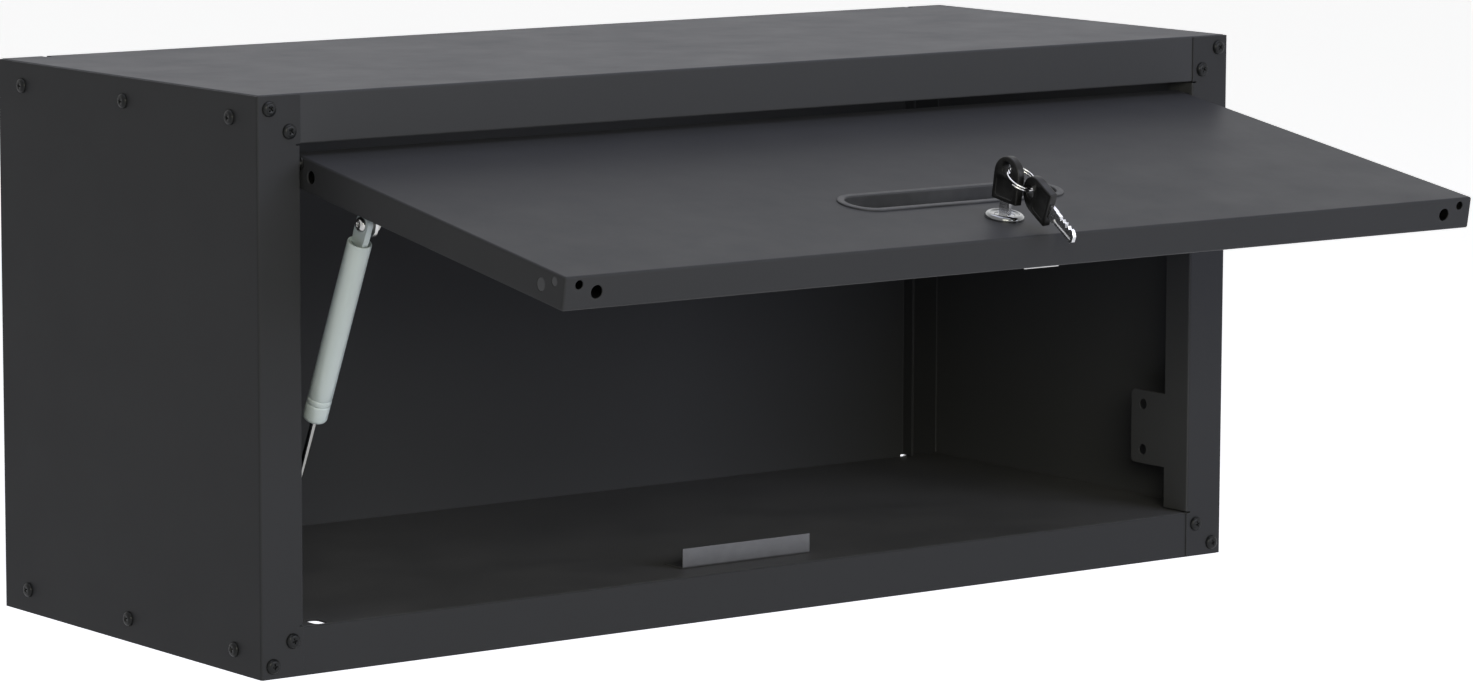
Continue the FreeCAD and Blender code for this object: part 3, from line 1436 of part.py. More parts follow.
def make_strut():
    """Gas strut: tube with its eye and gland, rod with its piston and socket."""
    radius = cell("tube_radius")
    bore = cell("tube_bore")
    top = -cell("tube_top")
    bottom = -cell("tube_bottom")
    rod = cell("rod_radius")
    recess = top - cell("tube_recess")
    mouth = rod + gauge * 0.6
    groove = cell("groove_depth")
    tube = Piece("strut_tube")
    lean(tube.body)
    tube.revolve("section", [outline([
        (0, recess - gauge * 4),
        (bore, recess - gauge * 4),
        (bore, bottom + gauge * 1.2),
        (mouth, bottom + gauge * 1.2),
        (mouth, bottom),
        (radius, bottom, cell("tube_round")),
        (radius, top, gauge * 0.5),
        (bore, top, gauge * 0.5),
        (bore, recess),
        (0, recess),
    ])])
    for name in ("groove_low", "groove_high"):
        middle = bottom + cell(name)
        tube.groove(name, [outline([
            (radius - groove, middle),
            (radius + gauge, middle - groove * 2),
            (radius + gauge, middle + groove * 2),
        ])])

    eye = Piece("strut_top_eye")
    lean(eye.body)
    half = cell("eye_thickness") / 2
    eye.pad("tongue", "YZ", -half, half, [outline([
        (-cell("eye_radius") + 1, recess),
        (cell("eye_radius") - 1, recess),
        (cell("eye_radius"), recess + 6),
        (cell("eye_radius"), cell("eye_radius"), cell("eye_radius") - 0.1),
        (-cell("eye_radius"), cell("eye_radius"), cell("eye_radius") - 0.1),
        (-cell("eye_radius"), recess + 6),
    ])])
    eye.cut("pivot_hole", "YZ", -half, half, [circle(0, 0, cell("screw_radius") + 0.06)])

    gland = Piece("strut_gland")
    lean(gland.body)
    gland_low = bottom + gauge * 1.25
    gland.revolve("section", [outline([
        (rod + 0.1, gland_low),
        (bore - 0.05, gland_low),
        (bore - 0.05, gland_low + gauge * 7),
        (rod + 0.1, gland_low + gauge * 7),
    ])])

    length = Size(STRUT_LENGTH, f"{STRUT_LENGTH:.6f}")
    piston_z = -cell("piston_place")
    shaft = Piece("strut_rod")
    lean(shaft.body)
    shaft.revolve("section", [outline([
        (0, -length + cell("ball_radius") * 1.6),
        (rod, -length + cell("ball_radius") * 1.6),
        (rod, piston_z),
        (0, piston_z),
    ])])
    piston = Piece("strut_piston")
    lean(piston.body)
    piston.revolve("section", [outline([
        (0, piston_z),
        (bore - 0.06, piston_z),
        (bore - 0.06, piston_z + 3),
        (bore - 1.2, piston_z + 3),
        (bore - 1.2, piston_z + 5),
        (bore - 0.06, piston_z + 5),
        (bore - 0.06, piston_z + 8),
        (0, piston_z + 8),
    ])])

    ball = cell("ball_radius")
    socket = Piece("strut_rod_end")
    lean(socket.body)
    socket_radius = ball + 1.8
    socket.revolve("section", [outline([
        (0, -length - ball * 1.5),
        (socket_radius, -length - ball * 1.5, gauge),
        (socket_radius, -length + ball * 1.2),
        (rod + 1.5, -length + ball * 2.2),
        (rod + 1.5, -length + ball * 2.8),
        (rod + 0.05, -length + ball * 2.8),
        (rod + 0.05, -length + ball * 1.55),
        (0, -length + ball * 1.55),
    ])])
    # The socket is bored from the side that faces the cabinet's wall
    socket.cut("ball_bore", "YZ", -socket_radius - gauge, ball * 0.6, [circle(0, -length, ball + 0.05)])

    stud = Piece("strut_ball_stud")
    lean(stud.body)
    flange_end = strut_x - (-opening_x + cell("plate_thickness")) - cell("open_gap")
    collar = ball * 1.3
    stud.pad("neck", "YZ", -flange_end, 0, [circle(0, -length, ball * 0.6)])
    stud.pad("collar", "YZ", -flange_end, -flange_end + gauge * 4, [hexagon(0, -length, collar)])
    stud.pad("ball", "YZ", -ball * 0.75, ball * 0.55, [circle(0, -length, ball * 0.98)])
    stud.round_edges("ball_front", ball * 0.45, head_edges("x", ball * 0.55, ball * 0.98))
    return stud


make_strut()


def make_door_bracket():
    """The strut's bracket under the door, its pivot screw, washer, nut and rivets."""
    bracket = Piece("strut_door_bracket")
    hang(bracket.body)
    thick = cell("ear_thickness")
    base_z = door_under + gauge
    reach = cell("eye_radius") + 1.5
    bracket.pad("foot", "XY", base_z - thick, base_z, [rectangle(
        ear_x, pivot_y - bracket_half, ear_x + foot_length, pivot_y + bracket_half)])
    bracket.pad("ear", "YZ", ear_x, ear_x + thick, [outline([
        (pivot_y - bracket_half, base_z),
        (pivot_y - bracket_half, pivot_z - reach, bracket_half - 1),
        (pivot_y + bracket_half, pivot_z - reach, bracket_half - 1),
        (pivot_y + bracket_half, base_z),
    ])])
    bracket.cut("pivot_hole", "YZ", ear_x - gauge, ear_x + thick + gauge, [
        circle(pivot_y, pivot_z, cell("pin_radius") + 0.05)
    ])
    bracket.cut("rivet_holes", "XY", base_z - thick - gauge, base_z + gauge, [
        circle(x, y, cell("rivet_radius")) for x, y in bracket_rivets
    ])

    screw_face = strut_x - cell("eye_thickness") / 2 - 0.3
    screw = make_screws("strut_pivot_screw", "YZ", screw_face, -1, [(pivot_y, pivot_z)],
                        ear_x + thick + cell("nut_height") - screw_face)
    hang(screw.body)
    washer = Piece("strut_pivot_washer")
    hang(washer.body)
    washer.pad("ring", "YZ", ear_x - gauge, ear_x, [circle(pivot_y, pivot_z, cell("eye_radius") * 0.75)])
    washer.cut("bore", "YZ", ear_x - gauge, ear_x, [circle(pivot_y, pivot_z, cell("pin_radius") + 0.05)])
    nut = make_nuts("strut_pivot_nut", "YZ", ear_x + thick, ear_x + thick + cell("nut_height"),
                    [(pivot_y, pivot_z)], cell("nut_radius"), cell("pin_radius") + 0.02)
    hang(nut.body)

    rivets = Piece("bracket_rivets")
    hang(rivets.body)
    head_z = base_z - thick
    rivets.pad("shanks", "XY", head_z, panel_top, [circle(x, y, cell("rivet_radius")) for x, y in bracket_rivets])
    rivets.pad("heads", "XY", head_z - cell("rivet_head_height"), head_z, [
        circle(x, y, cell("rivet_head")) for x, y in bracket_rivets
    ])
    rivets.round_edges("domes", cell("rivet_head_height") * 0.8,
                       head_edges("z", head_z - cell("rivet_head_height"), cell("rivet_head")))
    rivets.pad("tails", "XY", panel_top, panel_top + gauge, [
        circle(x, y, cell("rivet_head") * 0.9) for x, y in bracket_rivets
    ])


make_door_bracket()


def check_and_write():
    """Stop at any failed object, then write each sub-part's solid."""
    doc.recompute()
    for obj in doc.Objects:
        if "Invalid" in obj.State or "Error" in obj.State:
            raise ValueError(f"{obj.Name}: {obj.State}")
    pieces = [obj for obj in doc.Objects if obj.TypeId == "PartDesign::Body" or obj.Name == "key_ring"]
    for obj in pieces:
        if obj.Shape.isNull() or not obj.Shape.isValid() or not obj.Shape.Solids:
            raise ValueError(f"{obj.Label}: no valid solid")
    os.makedirs("parts", exist_ok=True)
    for obj in pieces:
        obj.Shape.exportStep(f"parts/{obj.Label}.step")
        box = obj.Shape.BoundBox
        print(f"{obj.Label:24s} solids {len(obj.Shape.Solids):2d} volume {obj.Shape.Volume:10.1f}"
              f"  x {box.XMin:8.2f} {box.XMax:8.2f}  y {box.YMin:8.2f} {box.YMax:8.2f}"
              f"  z {box.ZMin:8.2f} {box.ZMax:8.2f}")
    print("strut: open length", round(STRUT_LENGTH, 3), "lean", round(STRUT_LEAN, 3))


check_and_write()
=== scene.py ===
"""Dresses a metal wall cabinet with a flip-up door: finishes, fittings, lights and camera.

All lengths in the code are millimetres, turned into metres where a mesh is made.
"""

import json
import math

import bmesh
import bpy
from mathutils import Matrix, Vector


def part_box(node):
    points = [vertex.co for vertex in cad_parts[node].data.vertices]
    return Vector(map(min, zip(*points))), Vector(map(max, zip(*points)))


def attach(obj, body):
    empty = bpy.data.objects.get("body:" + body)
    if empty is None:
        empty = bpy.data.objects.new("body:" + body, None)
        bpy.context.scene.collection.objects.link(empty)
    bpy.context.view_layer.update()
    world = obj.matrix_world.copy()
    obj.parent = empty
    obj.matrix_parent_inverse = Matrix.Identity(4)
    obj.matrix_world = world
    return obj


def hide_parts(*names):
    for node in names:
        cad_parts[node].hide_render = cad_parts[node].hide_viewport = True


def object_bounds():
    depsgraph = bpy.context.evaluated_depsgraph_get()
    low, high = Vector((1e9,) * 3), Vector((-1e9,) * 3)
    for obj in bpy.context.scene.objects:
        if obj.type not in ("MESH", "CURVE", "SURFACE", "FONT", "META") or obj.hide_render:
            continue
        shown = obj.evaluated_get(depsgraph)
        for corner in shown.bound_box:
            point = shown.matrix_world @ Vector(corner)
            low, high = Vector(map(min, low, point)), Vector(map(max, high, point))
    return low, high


bl_info = {
    "name": "Metal wall cabinet",
    "version": (1, 0, 0),
    "blender": (4, 5, 0),
    "location": "View3D > Sidebar > Cabinet",
    "description": "Finishes and fittings of a sheet steel wall cabinet",
    "category": "Object",
}

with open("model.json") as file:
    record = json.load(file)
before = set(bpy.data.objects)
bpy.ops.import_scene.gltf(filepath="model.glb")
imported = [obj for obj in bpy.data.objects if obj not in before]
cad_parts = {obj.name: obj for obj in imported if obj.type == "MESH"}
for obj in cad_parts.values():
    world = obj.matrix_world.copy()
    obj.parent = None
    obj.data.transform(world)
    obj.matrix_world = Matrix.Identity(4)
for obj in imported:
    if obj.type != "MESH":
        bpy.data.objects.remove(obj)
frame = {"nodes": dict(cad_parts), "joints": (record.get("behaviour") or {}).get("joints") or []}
MM = 0.001
JOINTS = {joint["name"]: joint for joint in frame["joints"]}
NODES = frame["nodes"]
CAD_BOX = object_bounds()
CAD_BOX_OF = {name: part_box(name) for name in NODES}


# Places on the cabinet


def basis(origin, x_axis, z_axis):
    """A matrix in metres whose x and z axes point the given ways."""
    z_axis = Vector(z_axis).normalized()
    x_axis = Vector(x_axis)
    x_axis = (x_axis - z_axis * x_axis.dot(z_axis)).normalized()
    y_axis = z_axis.cross(x_axis)
    matrix = Matrix((x_axis, y_axis, z_axis)).transposed().to_4x4()
    matrix.translation = Vector(origin)
    return matrix


DOOR_NORMAL = -Vector(JOINTS["lock_turn"]["axis"])
# The lock's frame: origin on its axis at the door's face, z out of the door, y to the hinge
LOCK_PLACE = basis(JOINTS["lock_turn"]["pos_m"], (1, 0, 0), DOOR_NORMAL)
# The strut's frame: origin on the upper pivot, z up along the strut
STRUT_PLACE = basis(JOINTS["strut_swing"]["pos_m"], (1, 0, 0), -Vector(JOINTS["strut_slide"]["axis"]))


def in_mm(x, y, z):
    """A place given in millimetres, as a vector in metres."""
    return Vector((x, y, z)) * MM


# How far along a key its ring hole is, from the lock's face
KEY_HOLE = 30.4
# The split ring and the hanging key, in the lock's frame
RING_TURNS = 1.9
RING_PITCH = 1.7
RING_NORMAL = (0.066, -0.474, 0.878)
RING_MIDDLE = (2.7, -8.6, 26.2)
RING_START = math.radians(200)
RING_PLACE = basis(in_mm(*RING_MIDDLE), (1, 0, 0), RING_NORMAL) @ Matrix.Rotation(RING_START, 4, "Z")
SPARE_WIDTH = Vector((-0.142, -0.349, 0.926))
SPARE_POINT = Vector((-0.062, -0.931, -0.360))
SPARE_HOLE = in_mm(5.3, -17.3, 20.7)
SPARE_PLACE = LOCK_PLACE @ basis(
    SPARE_HOLE + SPARE_POINT.normalized() * KEY_HOLE * MM, SPARE_WIDTH.cross(-SPARE_POINT), -SPARE_POINT)


# Selecting and shaping


def only(obj):
    """Select one object and make it active."""
    bpy.ops.object.select_all(action="DESELECT")
    obj.hide_set(False)
    obj.select_set(True)
    bpy.context.view_layer.objects.active = obj


def named(name):
    """Name the object that was just added."""
    obj = bpy.context.active_object
    obj.name = name
    obj.data.name = name
    only(obj)
    return obj


def pick(obj, kind, test):
    """In edit mode, select only the verts, edges or faces that the test takes."""
    bpy.ops.mesh.select_mode(type={"verts": "VERT", "edges": "EDGE", "faces": "FACE"}[kind])
    bpy.ops.mesh.select_all(action="DESELECT")
    mesh = bmesh.from_edit_mesh(obj.data)
    for item in getattr(mesh, kind):
        item.select = bool(test(item))
    mesh.select_flush_mode()
    bmesh.update_edit_mesh(obj.data)


def edge_level(edge, axis, value, slack=0.02):
    """True if both ends of an edge have that coordinate, in millimetres."""
    return all(abs(vert.co[axis] / MM - value) < slack for vert in edge.verts)


def apply_modifier(obj, modifier):
    """Make a modifier's work part of the mesh."""
    only(obj)
    bpy.ops.object.modifier_apply(modifier=modifier.name)


def carve(obj, cutter):
    """Take the cutter's shape out of the object, then drop the cutter."""
    modifier = obj.modifiers.new("carve", "BOOLEAN")
    modifier.operation = "DIFFERENCE"
    modifier.solver = "EXACT"
    modifier.object = cutter
    apply_modifier(obj, modifier)
    bpy.data.objects.remove(cutter)


def soften(obj, width, segments=3, angle=40):
    """Round every sharp edge a little."""
    modifier = obj.modifiers.new("soften", "BEVEL")
    modifier.width = width * MM
    modifier.segments = segments
    modifier.limit_method = "ANGLE"
    modifier.angle_limit = math.radians(angle)
    apply_modifier(obj, modifier)


def smooth(obj, angle=35):
    """Shade the faces smooth, with edges sharper than the angle kept hard."""
    only(obj)
    bpy.ops.object.shade_smooth_by_angle(angle=math.radians(angle))


def place(obj, matrix):
    """Move a piece from its own frame to its place, leaving the object at the origin."""
    only(obj)
    obj.matrix_world = matrix @ obj.matrix_world
    bpy.ops.object.transform_apply(location=True, rotation=True, scale=True)


def outwards(obj, doubles=0.01):
    """Merge points closer than that and turn every face outwards."""
    only(obj)
    bpy.ops.object.mode_set(mode="EDIT")
    bpy.ops.mesh.select_all(action="SELECT")
    bpy.ops.mesh.remove_doubles(threshold=doubles * MM)
    bpy.ops.mesh.normals_make_consistent(inside=False)
    bpy.ops.object.mode_set(mode="OBJECT")


def lathe(name, profile, segments=48, closed=False):
    """A turned shape about z from a profile of (radius, height) corners."""
    bpy.ops.object.select_all(action="DESELECT")
    bpy.ops.mesh.primitive_plane_add(size=MM)
    obj = named(name)
    bpy.ops.object.mode_set(mode="EDIT")
    bpy.ops.mesh.select_mode(type="VERT")
    bpy.ops.mesh.select_all(action="SELECT")
    bpy.ops.mesh.merge(type="CENTER")
    radius, height = profile[0]
    bpy.ops.transform.translate(value=in_mm(radius, 0, height))
    for next_radius, next_height in profile[1:]:
        step = in_mm(next_radius - radius, 0, next_height - height)
        bpy.ops.mesh.extrude_region_move(TRANSFORM_OT_translate={"value": step})
        radius, height = next_radius, next_height
    if closed:
        # Only the profile's two ends have a single edge
        pick(obj, "verts", lambda vert: len(vert.link_edges) == 1)
        bpy.ops.mesh.edge_face_add()
    bpy.ops.mesh.select_all(action="SELECT")
    bpy.ops.mesh.spin(steps=segments, angle=2 * math.pi, center=(0, 0, 0), axis=(0, 0, 1))
    bpy.ops.object.mode_set(mode="OBJECT")
    outwards(obj)
    return obj


def quarter_turn(steps=8):
    """The cosine and sine at each step of a quarter turn."""
    for step in range(steps + 1):
        angle = math.pi / 2 * step / steps
        yield math.cos(angle), math.sin(angle)


def box(name, low, high):
    """A box between two corners."""
    low, high = Vector(low), Vector(high)
    bpy.ops.object.select_all(action="DESELECT")
    bpy.ops.mesh.primitive_cube_add(size=1, location=(low + high) / 2 * MM)
    obj = named(name)
    obj.scale = (high - low) * MM
    bpy.ops.object.transform_apply(location=True, rotation=True, scale=True)
    return obj


def rod(name, radius, low, high, segments=48):
    """A plain round bar along z, from one height to the other."""
    bpy.ops.object.select_all(action="DESELECT")
    bpy.ops.mesh.primitive_cylinder_add(
        vertices=segments, radius=radius * MM, depth=(high - low) * MM,
        location=in_mm(0, 0, (low + high) / 2))
    obj = named(name)
    bpy.ops.object.transform_apply(location=True, rotation=True, scale=True)
    return obj


def obround(name, half_length, radius, segments=64):
    """A flat filled obround along x, at height zero."""
    bpy.ops.object.select_all(action="DESELECT")
    bpy.ops.mesh.primitive_circle_add(
        vertices=segments, radius=radius * MM, fill_type="NGON", rotation=(0, 0, math.pi / segments))
    obj = named(name)
    bpy.ops.object.transform_apply(location=True, rotation=True, scale=True)
    bpy.ops.object.mode_set(mode="EDIT")
    for side in (-1, 1):
        pick(obj, "verts", lambda vert: vert.co.x * side > 0)
        bpy.ops.transform.translate(value=in_mm((half_length - radius) * side, 0, 0))
    bpy.ops.object.mode_set(mode="OBJECT")
    return obj


def copies(obj, matrices, name):
    """Copy a piece to each place, every copy with its own mesh, and join them."""
    made = []
    for matrix in matrices:
        twin = obj.copy()
        twin.data = obj.data.copy()
        bpy.context.collection.objects.link(twin)
        place(twin, matrix)
        made.append(twin)
    bpy.ops.object.select_all(action="DESELECT")
    for twin in made:
        twin.select_set(True)
    bpy.context.view_layer.objects.active = made[0]
    bpy.ops.object.join()
    bpy.data.objects.remove(obj)
    return named(name)


def join(name, *parts):
    """Make several pieces one."""
    bpy.ops.object.select_all(action="DESELECT")
    for part in parts:
        part.select_set(True)
    bpy.context.view_layer.objects.active = parts[0]
    bpy.ops.object.join()
    return named(name)


def finish_piece(obj, material, body, slot, *nodes):
    """Give a piece its finish, its body and the solids it stands for."""
    if not obj.data.polygons:
        raise RuntimeError(f"{obj.name} has no faces")
    obj.data.materials.clear()
    obj.data.materials.append(material)
    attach(obj, body)
    if nodes:
        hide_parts(*nodes)


# Shading


class Tree:
    """A short way to add and link shader nodes."""

    def __init__(self, tree):
        self.tree = tree

    def add(self, kind, values=None, **settings):
        """A new node; a value is either a number for an input or a socket to link to it."""
        node = self.tree.nodes.new(kind)
        for key, value in settings.items():
            setattr(node, key, value)
        for key, value in (values or {}).items():
            if isinstance(value, bpy.types.NodeSocket):
                self.tree.links.new(value, node.inputs[key])
            else:
                node.inputs[key].default_value = value
        return node

    def link(self, output, socket):
        self.tree.links.new(output, socket)

    def noise(self, vector, scale, detail=2.0, roughness=0.5):
        """A noise value from 0 to 1; the scale is per metre."""
        node = self.add("ShaderNodeTexNoise", {"Scale": scale, "Detail": detail, "Roughness": roughness})
        self.link(vector, node.inputs["Vector"])
        return node.outputs["Fac"]

    def spread(self, value, low_in, high_in, low_out, high_out):
        """Stretch a value from one range to another."""
        node = self.add("ShaderNodeMapRange", {
            "From Min": low_in, "From Max": high_in, "To Min": low_out, "To Max": high_out})
        node.clamp = True
        self.link(value, node.inputs["Value"])
        return node.outputs["Result"]

    def maths(self, operation, first, second):
        """One sum on two values or sockets."""
        node = self.add("ShaderNodeMath", operation=operation)
        for index, value in enumerate((first, second)):
            if isinstance(value, bpy.types.NodeSocket):
                self.link(value, node.inputs[index])
            else:
                node.inputs[index].default_value = value
        return node.outputs["Value"]

    def between(self, factor, low, high):
        """Low where the factor is 0, high where it is 1."""
        return self.maths("ADD", low, self.maths("MULTIPLY", factor, self.maths("SUBTRACT", high, low)))

    def shade(self, colour, factor):
        """Multiply a colour by a grey value."""
        node = self.add("ShaderNodeVectorMath", operation="SCALE")
        self.link(colour, node.inputs[0])
        self.link(factor, node.inputs["Scale"])
        return node.outputs["Vector"]

    def mix(self, factor, first, second):
        """The first colour where the factor is 0, the second where it is 1."""
        node = self.add("ShaderNodeMix", data_type="RGBA")
        self.link(factor, node.inputs["Factor"])
        for socket, value in (("A", first), ("B", second)):
            target = [entry for entry in node.inputs if entry.name == socket and entry.type == "RGBA"][0]
            if isinstance(value, bpy.types.NodeSocket):
                self.link(value, target)
            else:
                target.default_value = value
        return [entry for entry in node.outputs if entry.type == "RGBA"][0]


FLOAT = "NodeSocketFloat"
COLOUR = "NodeSocketColor"
VECTOR = "NodeSocketVector"
GROUP_OUTPUTS = (("Colour", COLOUR), ("Roughness", FLOAT), ("Height", FLOAT), ("Normal", VECTOR))


def new_group(name, inputs):
    """An empty node group with the named inputs and the outputs that every finish has."""
    group = bpy.data.node_groups.new(name, "ShaderNodeTree")
    for label, kind, value in inputs:
        socket = group.interface.new_socket(label, in_out="INPUT", socket_type=kind)
        socket.default_value = value
    for label, kind in GROUP_OUTPUTS:
        group.interface.new_socket(label, in_out="OUTPUT", socket_type=kind)
    tree = Tree(group)
    start = group.nodes.new("NodeGroupInput")
    end = group.nodes.new("NodeGroupOutput")
    return group, tree, start.outputs, end.inputs


# The cosine between the true and the rounded normal where an edge begins to show, and where it shows fully
EDGE_BEGINS, EDGE_FULL = 0.995, 0.85


def edge_mask(tree, reach):
    """The rounded normal near edges, and a mask that is 1 on them."""
    rounded = tree.add("ShaderNodeBevel", {"Radius": reach}, samples=6).outputs["Normal"]
    normal = tree.add("ShaderNodeNewGeometry").outputs["Normal"]
    facing = tree.add("ShaderNodeVectorMath", operation="DOT_PRODUCT")
    tree.link(rounded, facing.inputs[0])
    tree.link(normal, facing.inputs[1])
    return rounded, tree.spread(facing.outputs["Value"], EDGE_BEGINS, EDGE_FULL, 0.0, 1.0)


DUST_COLOUR = (0.29, 0.285, 0.285, 1)


def powder_coat_group():
    """Baked powder coat: orange-peel skin, fine flecks, slow cloudiness, paler edges that are partly a
    thinner coat and partly a painted highlight, and painted fill light that makes faces inside the case
    paler.
    """
    group, tree, given, out = new_group("powder_coat", [
        ("Colour", COLOUR, (0.07, 0.07, 0.075, 1)),
        ("Peel", FLOAT, 520.0),
        ("Fleck", FLOAT, 0.08),
        ("Cloud", FLOAT, 0.035),
        ("Edge", FLOAT, 0.25),
        ("Edge Reach", FLOAT, 0.0008),
        ("Sheen Low", FLOAT, 0.40),
        ("Sheen High", FLOAT, 0.47),
        ("Dust", FLOAT, 0.006),
        ("Inside", FLOAT, 0.0),
    ])
    place_on = tree.add("ShaderNodeTexCoord").outputs["Object"]
    peel = tree.add("ShaderNodeTexNoise", {"Detail": 2.0, "Roughness": 0.45})
    tree.link(place_on, peel.inputs["Vector"])
    tree.link(given["Peel"], peel.inputs["Scale"])
    fleck = tree.noise(place_on, scale=2600, detail=1.0)
    cloud = tree.noise(place_on, scale=5.5, detail=3.0)
    smudge = tree.noise(place_on, scale=21, detail=5.0, roughness=0.62)
    rounded, edge = edge_mask(tree, given["Edge Reach"])
    # Flecks and clouds only ever shift the tone a little about its mean
    fleck_shift = tree.maths("MULTIPLY", tree.maths("SUBTRACT", fleck, 0.5), given["Fleck"])
    cloud_shift = tree.maths("MULTIPLY", tree.maths("SUBTRACT", cloud, 0.5), given["Cloud"])
    # The edges are paler: partly a thinner coat, partly a painted highlight
    edge_highlight_shift = tree.maths("MULTIPLY", edge, given["Edge"])
    slow_shift = tree.maths("ADD", cloud_shift, edge_highlight_shift)
    tone = tree.maths("ADD", tree.maths("ADD", 1.0, fleck_shift), slow_shift)
    # A face that looks back towards the origin is inside the case, where the coat is made paler as painted
    # fill light
    looking = tree.add("ShaderNodeVectorMath", operation="DOT_PRODUCT")
    tree.link(place_on, looking.inputs[0])
    tree.link(rounded, looking.inputs[1])
    inward = tree.spread(looking.outputs["Value"], -0.03, -0.01, 1.0, 0.0)
    tone = tree.maths("ADD", tone, tree.maths("MULTIPLY", inward, given["Inside"]))
    coated = tree.shade(given["Colour"], tone)
    upward = tree.add("ShaderNodeSeparateXYZ")
    tree.link(rounded, upward.inputs["Vector"])
    level = tree.spread(upward.outputs["Z"], 0.75, 1.0, 0.0, 1.0)
    settled = tree.spread(smudge, 0.25, 0.75, 0.35, 1.0)
    dusty = tree.maths("MULTIPLY", tree.maths("MULTIPLY", level, settled), given["Dust"])
    tree.link(tree.mix(dusty, coated, DUST_COLOUR), out["Colour"])
    sheen = tree.spread(smudge, 0.3, 0.7, 0.0, 1.0)
    tree.link(tree.between(sheen, given["Sheen Low"], given["Sheen High"]), out["Roughness"])
    tree.link(peel.outputs["Fac"], out["Height"])
    tree.link(rounded, out["Normal"])
    return group


def brushed_group():
    """Rolled or brushed metal: fine lines along one axis with faint blotches."""
    group, tree, given, out = new_group("brushed_metal", [
        ("Colour", COLOUR, (0.5, 0.5, 0.5, 1)),
        ("Along", VECTOR, (1.0, 0.04, 1.0)),
        ("Line Scale", FLOAT, 2200.0),
        ("Tarnish", FLOAT, 0.2),
        ("Rough Low", FLOAT, 0.22),
        ("Rough High", FLOAT, 0.42),
        ("Edge", FLOAT, 0.3),
        ("Edge Reach", FLOAT, 0.00025),
    ])
    place_on = tree.add("ShaderNodeTexCoord").outputs["Object"]
    stretch = tree.add("ShaderNodeVectorMath", operation="MULTIPLY")
    tree.link(place_on, stretch.inputs[0])
    tree.link(given["Along"], stretch.inputs[1])
    lines = tree.add("ShaderNodeTexNoise", {"Detail": 3.0, "Roughness": 0.6})
    tree.link(stretch.outputs["Vector"], lines.inputs["Vector"])
    tree.link(given["Line Scale"], lines.inputs["Scale"])
    blotch = tree.noise(place_on, scale=140, detail=4.0)
    worn = tree.maths("MULTIPLY", tree.spread(blotch, 0.35, 0.7, 0.0, 1.0), given["Tarnish"])
    rounded, edge = edge_mask(tree, given["Edge Reach"])
    # Edge lifts the colour along edges as a painted highlight
    tone = tree.maths("ADD", tree.maths("SUBTRACT", 1.0, worn), tree.maths("MULTIPLY", edge, given["Edge"]))
    streak = tree.spread(lines.outputs["Fac"], 0.3, 0.7, 0.93, 1.05)
    tree.link(tree.shade(given["Colour"], tree.maths("MULTIPLY", tone, streak)), out["Colour"])
    grain = tree.spread(lines.outputs["Fac"], 0.3, 0.7, 0.0, 1.0)
    tree.link(tree.between(grain, given["Rough Low"], given["Rough High"]), out["Roughness"])
    tree.link(lines.outputs["Fac"], out["Height"])
    tree.link(rounded, out["Normal"])
    return group


def moulded_group():
    """Moulded plastic: spark-eroded grain with slightly shinier worn patches."""
    group, tree, given, out = new_group("moulded_plastic", [
        ("Colour", COLOUR, (0.02, 0.02, 0.02, 1)),
        ("Grain", FLOAT, 1800.0),
        ("Rough Low", FLOAT, 0.35),
        ("Rough High", FLOAT, 0.55),
        ("Edge", FLOAT, 0.15),
        ("Edge Reach", FLOAT, 0.0004),
    ])
    place_on = tree.add("ShaderNodeTexCoord").outputs["Object"]
    grain = tree.add("ShaderNodeTexVoronoi")
    tree.link(place_on, grain.inputs["Vector"])
    tree.link(given["Grain"], grain.inputs["Scale"])
    patch = tree.noise(place_on, scale=160, detail=3.0)
    rounded, edge = edge_mask(tree, given["Edge Reach"])
    # Edge lifts the colour along edges as a painted highlight
    edge_highlight_shift = tree.maths("MULTIPLY", edge, given["Edge"])
    tone = tree.maths("ADD", tree.spread(patch, 0.3, 0.7, 0.9, 1.12), edge_highlight_shift)
    tree.link(tree.shade(given["Colour"], tone), out["Colour"])
    worn = tree.spread(patch, 0.35, 0.65, 0.0, 1.0)
    tree.link(tree.between(worn, given["Rough Low"], given["Rough High"]), out["Roughness"])
    tree.link(grain.outputs["Distance"], out["Height"])
    tree.link(rounded, out["Normal"])
    return group


GROUPS = {}
FINISH = {}


def make_finish(name, group, values, metallic=0.0, bump=0.1, bump_reach=0.0001, coat=0.0, specular=0.5,
                facing=1.0):
    """A Principled material fed by one of the groups; facing below 1 darkens what faces the eye, as a
    painted reflection.
    """
    material = bpy.data.materials.new(name)
    material.use_nodes = True
    tree = Tree(material.node_tree)
    shader = material.node_tree.nodes["Principled BSDF"]
    effect = tree.add("ShaderNodeGroup", node_tree=GROUPS[group])
    for key, value in values.items():
        effect.inputs[key].default_value = value
    colour = effect.outputs["Colour"]
    # Painted reflection: the colour darkens where the surface faces the eye and stays bright towards the
    # rim
    if facing < 1:
        turned = tree.add("ShaderNodeLayerWeight", {"Blend": 0.5}).outputs["Facing"]
        colour = tree.shade(colour, tree.spread(turned, 0.25, 0.95, facing, 1.0))
    tree.link(colour, shader.inputs["Base Color"])
    tree.link(effect.outputs["Roughness"], shader.inputs["Roughness"])
    ridges = tree.add("ShaderNodeBump", {"Strength": bump, "Distance": bump_reach})
    tree.link(effect.outputs["Height"], ridges.inputs["Height"])
    tree.link(effect.outputs["Normal"], ridges.inputs["Normal"])
    tree.link(ridges.outputs["Normal"], shader.inputs["Normal"])
    shader.inputs["Metallic"].default_value = metallic
    shader.inputs["Coat Weight"].default_value = coat
    shader.inputs["Coat Roughness"].default_value = 0.25
    shader.inputs["Specular IOR Level"].default_value = specular
    FINISH[name] = material


# Settings


